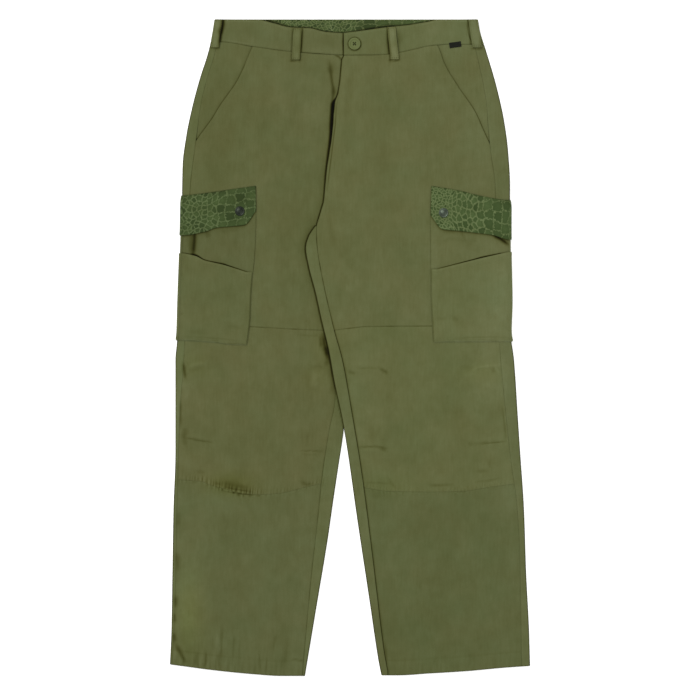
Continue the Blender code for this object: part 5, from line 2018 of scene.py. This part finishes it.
def clothMaterial(name, tint, stitch=False):
    paint, look = Paint(name), twillLook
    colour = tuple(b * t for b, t in zip(look["base"], tint)) + (1,)
    turned = paint.moved(Rotation=(0, 0, math.radians(look["turn"])))
    weave = paint.ribs(look["pitch"], "X", turned, Distortion=1.2, Detail=2, Detail_Scale=1.5)
    yarns = paint.noise(look["yarns"])
    streaks = paint.noise(look["streaks"], paint.moved(Scale=(1, 0.12, 1)))
    mottle = paint.noise(look["mottles"], Roughness=0.65)
    patches = paint.noise(look["patches"], paint.moved(Scale=(1, 0.75, 1)))
    tone = paint.noise(look["tones"], paint.moved(Location=(3.1, 1.7, 0.4)))
    factor = shade = paint.attribute("shade")
    for source, amount in (
        (weave, look["weave"]), (yarns, look["speckle"]), (streaks, look["streak"]),
        (mottle, look["mottle"]), (patches, look["patch"]),
    ):
        factor = paint.times(factor, paint.scaled(source, 2 * amount, 1 - amount))
    if stitch:
        factor = paint.times(shade, paint.scaled(yarns, 0.3, 0.85))
    hue = paint.scaled(tone, 2 * look["hue"], 0.5 - look["hue"])
    hued = paint.node("HueSaturation", {"Color": colour, "Hue": hue}).outputs[0]
    shaded = paint.shaded(hued, factor, 0.94, 1.6)
    final = paint.mixed(paint.attribute("warm"), shaded, look["warm"], "MULTIPLY")
    height = paint.scaled(weave, 0.7, paint.times(yarns, 0.3))
    paint.made.diffuse_color = colour
    return paint.finish(final, {
        "Roughness": look["roughness"],
        "Specular IOR Level": look["shine"],
        "Sheen Weight": look["sheen"],
        "Sheen Tint": look["sheenTint"],
    }, height, look["bump"], look["depth"])


printLook = {
    # piece: dark cell, light cell and line colours, jitter of the cells and half the line's
    # width as a share of a cell, both for large and for small cells
    "right": {
        "colours": ((41, 54, 24), (64, 79, 42), (85, 98, 61)),
        "jitter": (0.42, 0.92),
        "halfLine": (0.044, 0.105),
    },
    "left": {
        "colours": ((46, 61, 28), (68, 84, 46), (92, 104, 65)),
        "jitter": (0.42, 1),
        "halfLine": (0.038, 0.15),
    },
    "facing": {
        "colours": ((38, 50, 22), (69, 83, 44), (93, 103, 64)),
        "jitter": (0.5, 1),
        "halfLine": (0.05, 0.1),
    },
    # scale and detail of the noises, for all three
    "wobble": (330, 4),
    "worn": (620, 3),
    "roughness": 0.8,
    "shine": 0.1,
}


def printMaterial(name, piece):
    paint, look = Paint(name), printLook[piece]
    dark, mid, line = (linear(*colour) for colour in look["colours"])
    cells = paint.node("SeparateXYZ", {0: paint.attribute("printPlace", "Vector")}).outputs
    flat = paint.node("CombineXYZ", {"X": cells[0], "Y": cells[1]}).outputs[0]

    def byZone(values):
        return paint.scaled(cells[2], (values[1] - values[0]) / 2, values[0])

    wobble = paint.noise(printLook["wobble"], output="Color")
    moved = paint.node(
        "VectorMath", {0: wobble, 1: (0.6, 0.6, 0), 2: flat}, operation="MULTIPLY_ADD"
    ).outputs[0]
    grid = {"Vector": moved, "Scale": 1, "Randomness": byZone(look["jitter"])}
    toEdge, cell = (
        paint.node("TexVoronoi", grid, voronoi_dimensions="2D", feature=feature)
        for feature in ("DISTANCE_TO_EDGE", "F1")
    )
    # distance to the cell's edge, as a share of half the line's width
    edge = paint.maths("DIVIDE", toEdge.outputs["Distance"], byZone(look["halfLine"]))
    each = paint.node("SeparateColor", {0: cell.outputs["Color"]}).outputs[0]
    centre = paint.scaled(cell.outputs["Distance"], -0.7, 0.75)
    fine = paint.noise(printLook["worn"])
    grainy = paint.maths("ADD", centre, paint.scaled(fine, 0.8, -0.25))
    bright = paint.times(paint.maths("ADD", each, 0.25), grainy)
    held = paint.maths("MINIMUM", paint.maths("MAXIMUM", bright, 0), 1)
    ramp = paint.node(
        "MapRange", {0: edge, 1: 0.7, 2: 1.5, 3: 1, 4: 0}, interpolation_type="SMOOTHSTEP"
    ).outputs[0]
    worn = paint.times(ramp, paint.scaled(fine, 1.8, -0.06))
    printed = paint.mixed(paint.maths("MINIMUM", worn, 1), paint.mixed(held, dark, mid), line)
    yarns = paint.noise(twillLook["yarns"])
    speckle = paint.scaled(yarns, 0.16, 0.92)
    factor = paint.times(paint.attribute("shade"), speckle)
    paint.made.diffuse_color = mid
    return paint.finish(paint.shaded(printed, factor, 0.95, 1.4), {
        "Roughness": printLook["roughness"],
        "Specular IOR Level": printLook["shine"],
        "Sheen Weight": twillLook["sheen"],
        "Sheen Tint": twillLook["sheenTint"],
    }, yarns, 0.3, 0.1)


fittingColours = {
    # the darkest and the lightest tone of each
    "button": (linear(76, 83, 42), linear(98, 107, 62)),
    "tab": (linear(9, 10, 6), linear(34, 36, 28)),
    "zip": (linear(52, 58, 36), linear(68, 74, 48)),
    # the snaps are one metal: the right one's darker tones are painted shade, the left one's
    # lighter ones painted light
    "right": ((0.009, 0.011, 0.008, 1), (0.034, 0.04, 0.03, 1)),
    "left": ((0.028, 0.038, 0.027, 1), (0.085, 0.105, 0.076, 1)),
}


def buttonMaterial():
    paint = Paint("button_resin")
    cloud = paint.noise((260, 5), Roughness=0.65)
    specks = paint.noise((1500, 2))
    share = paint.maths("ADD", paint.times(cloud, 0.8), paint.times(specks, 0.2))
    roughness = paint.scaled(specks, 0.2, 0.52)
    sockets = {"Roughness": roughness, "Specular IOR Level": 0.2}
    return paint.finish(paint.mixed(share, *fittingColours["button"]), sockets, specks, 0.15, 0.1)


def snapMaterial(side):
    paint = Paint("snap_gunmetal_" + side)
    fine, worn = paint.noise((1800, 3)), paint.noise((320, 4))
    sockets = {"Metallic": 0.85, "Roughness": paint.scaled(worn, 0.25, 0.24)}
    return paint.finish(paint.mixed(worn, *fittingColours[side]), sockets, fine, 0.1, 0.05)


def tabMaterial():
    paint = Paint("tab_tape")
    turned = paint.moved(Rotation=(0, 0, math.radians(-tabLook["turn"])))
    ribs, yarns = paint.ribs(0.6, "Y", turned), paint.noise((2400, 2))
    tone = paint.maths("ADD", paint.times(ribs, 0.35), paint.times(yarns, 0.5))
    share = paint.maths("MINIMUM", paint.times(paint.attribute("shade"), tone), 1)
    sockets = {"Roughness": 0.85, "Specular IOR Level": 0.12}
    return paint.finish(paint.mixed(share, *fittingColours["tab"]), sockets, ribs, 0.4, 0.1)


def zipMaterial():
    paint = Paint("zip_tape")
    ribs = paint.ribs(1, "Y")
    colour = paint.mixed(ribs, *fittingColours["zip"])
    return paint.finish(colour, {"Roughness": 0.75}, ribs, 0.5, 0.1)


stage = {
    "floorSize": 18,
    "floorDrop": 0.0004,
    "floorGlow": 0.5,
    "lens": 200,
    "sensor": 36,
    "frameWidth": 1.12,
    "aim": (0, -0.0038),
    "worldStrength": 0.62,
    # name: power, place and size of the lamps, in metres
    "lamps": {
        "key_light": (78, (-1.3, 1.5, 3), 2.2),
        "fill_light": (26, (1.7, -1.5, 2.8), 2.6),
    },
}


def floorAndLight():
    bpy.ops.mesh.primitive_plane_add(size=stage["floorSize"], location=(0, 0, -stage["floorDrop"]))
    floor = bpy.context.object
    floor.name = "floor"
    paint = Paint("floor_paper")
    value = paint.scaled(paint.noise((40, 4)), 0.01, 0.9)
    white = paint.node("CombineColor", {"Red": value, "Green": value, "Blue": value}).outputs[0]
    # the table glows with painted light, so that the shadow on it stays faint
    floor.data.materials.append(paint.finish(white, {
        "Roughness": 0.9,
        "Specular IOR Level": 0.1,
        "Emission Color": (1, 1, 1, 1),
        "Emission Strength": stage["floorGlow"],
    }))
    studio = bpy.data.worlds.new("studio")
    studio.use_nodes = True
    background = studio.node_tree.nodes["Background"].inputs
    background[0].default_value = (1, 1, 1, 1)
    background[1].default_value = stage["worldStrength"]
    bpy.context.scene.world = studio
    lamps = []
    for name, (power, place, size) in stage["lamps"].items():
        data = bpy.data.lights.new(name, "AREA")
        data.energy, data.size = power, size
        lamp = linked(name, data)
        lamp.location = place
        lamp.rotation_euler = (-lamp.location.normalized()).to_track_quat("-Z", "Y").to_euler()
        lamps.append(lamp)
    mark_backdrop(floor, *lamps)


def placeCamera():
    data = bpy.data.cameras.new("camera")
    data.lens, data.sensor_width = stage["lens"], stage["sensor"]
    data.clip_end = 50
    data.dof.use_dof = False
    camera = linked("camera", data)
    camera.location = (*stage["aim"], stage["frameWidth"] * stage["lens"] / stage["sensor"])
    bpy.context.scene.camera = camera
    bpy.context.scene.view_settings.view_transform = "Standard"


def dress(piece, slotName, material, *nodes):
    piece.data.materials.clear()
    piece.data.materials.append(material)
    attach(piece, "root")
    if nodes:
        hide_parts(*nodes)
    return piece


def sew(piece, node, stitches=None, slotName="twill", material=None):
    # a piece of cloth in its node's place, dressed and with its node hidden
    kind, _, side = node.rpartition("_")
    if not material:
        material = clothMaterial("twill_" + node, tints[kind][sides.index(side)])
    dress(piece, slotName, material, node)
    print(node)


def main():
    thread = clothMaterial("thread", twillLook["thread"], stitch=True)
    for side in sides:
        for kind in frontPanels:
            piece, stitches = frontPanel(kind, side), None
            if kind == "front_thigh":
                stitches = dress(panelStitches(side), "twill", thread)
            sew(piece, f"{kind}_{side}", stitches)
        sew(backPanel(side), "back_panel_" + side)
        sew(hipPiece(side), "hip_piece_" + side)
        stitches = dress(bandStitches(side), "twill", thread)
        sew(waistbandHalf(side), "waistband_" + side, stitches)
        sew(pocketPiece(side, "cargo"), "cargo_pocket_" + side)
        stitches = dress(pocketStitches(side), "twill", thread)
        sew(pocketPiece(side, "slip"), "slip_pocket_" + side, stitches)
        stitches = dress(flapStitches(side), "print", thread)
        printed = printMaterial("print_flap_" + side, side)
        sew(pocketPiece(side, "flap"), "cargo_flap_" + side, stitches, "print", printed)
        dress(snapCap(side), "snap", snapMaterial(side), "snap_cap_" + side)
    printed = printMaterial("print_facing", "facing")
    sew(waistbandFacing(), "waistband_facing", None, "print", printed)
    for name in loopNames:
        sew(beltLoop(name), name, dress(loopStitches(name), "twill", thread))
    sew(waistTab(), "waist_tab", None, "tab", tabMaterial())
    dress(waistButton(), "button", buttonMaterial(), "waist_button")
    buttonThread = clothMaterial("button_thread", twillLook["buttonThread"], stitch=True)
    dress(buttonThreads(), "button", buttonThread)
    zipTape = frame["nodes"]["fly_zip"].data.materials
    zipTape.clear()
    zipTape.append(zipMaterial())
    print("button and zip")
    floorAndLight()
    placeCamera()
    total = sum(len(piece.data.polygons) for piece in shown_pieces() if piece.type == "MESH")
    print("faces in all:", total)


main()
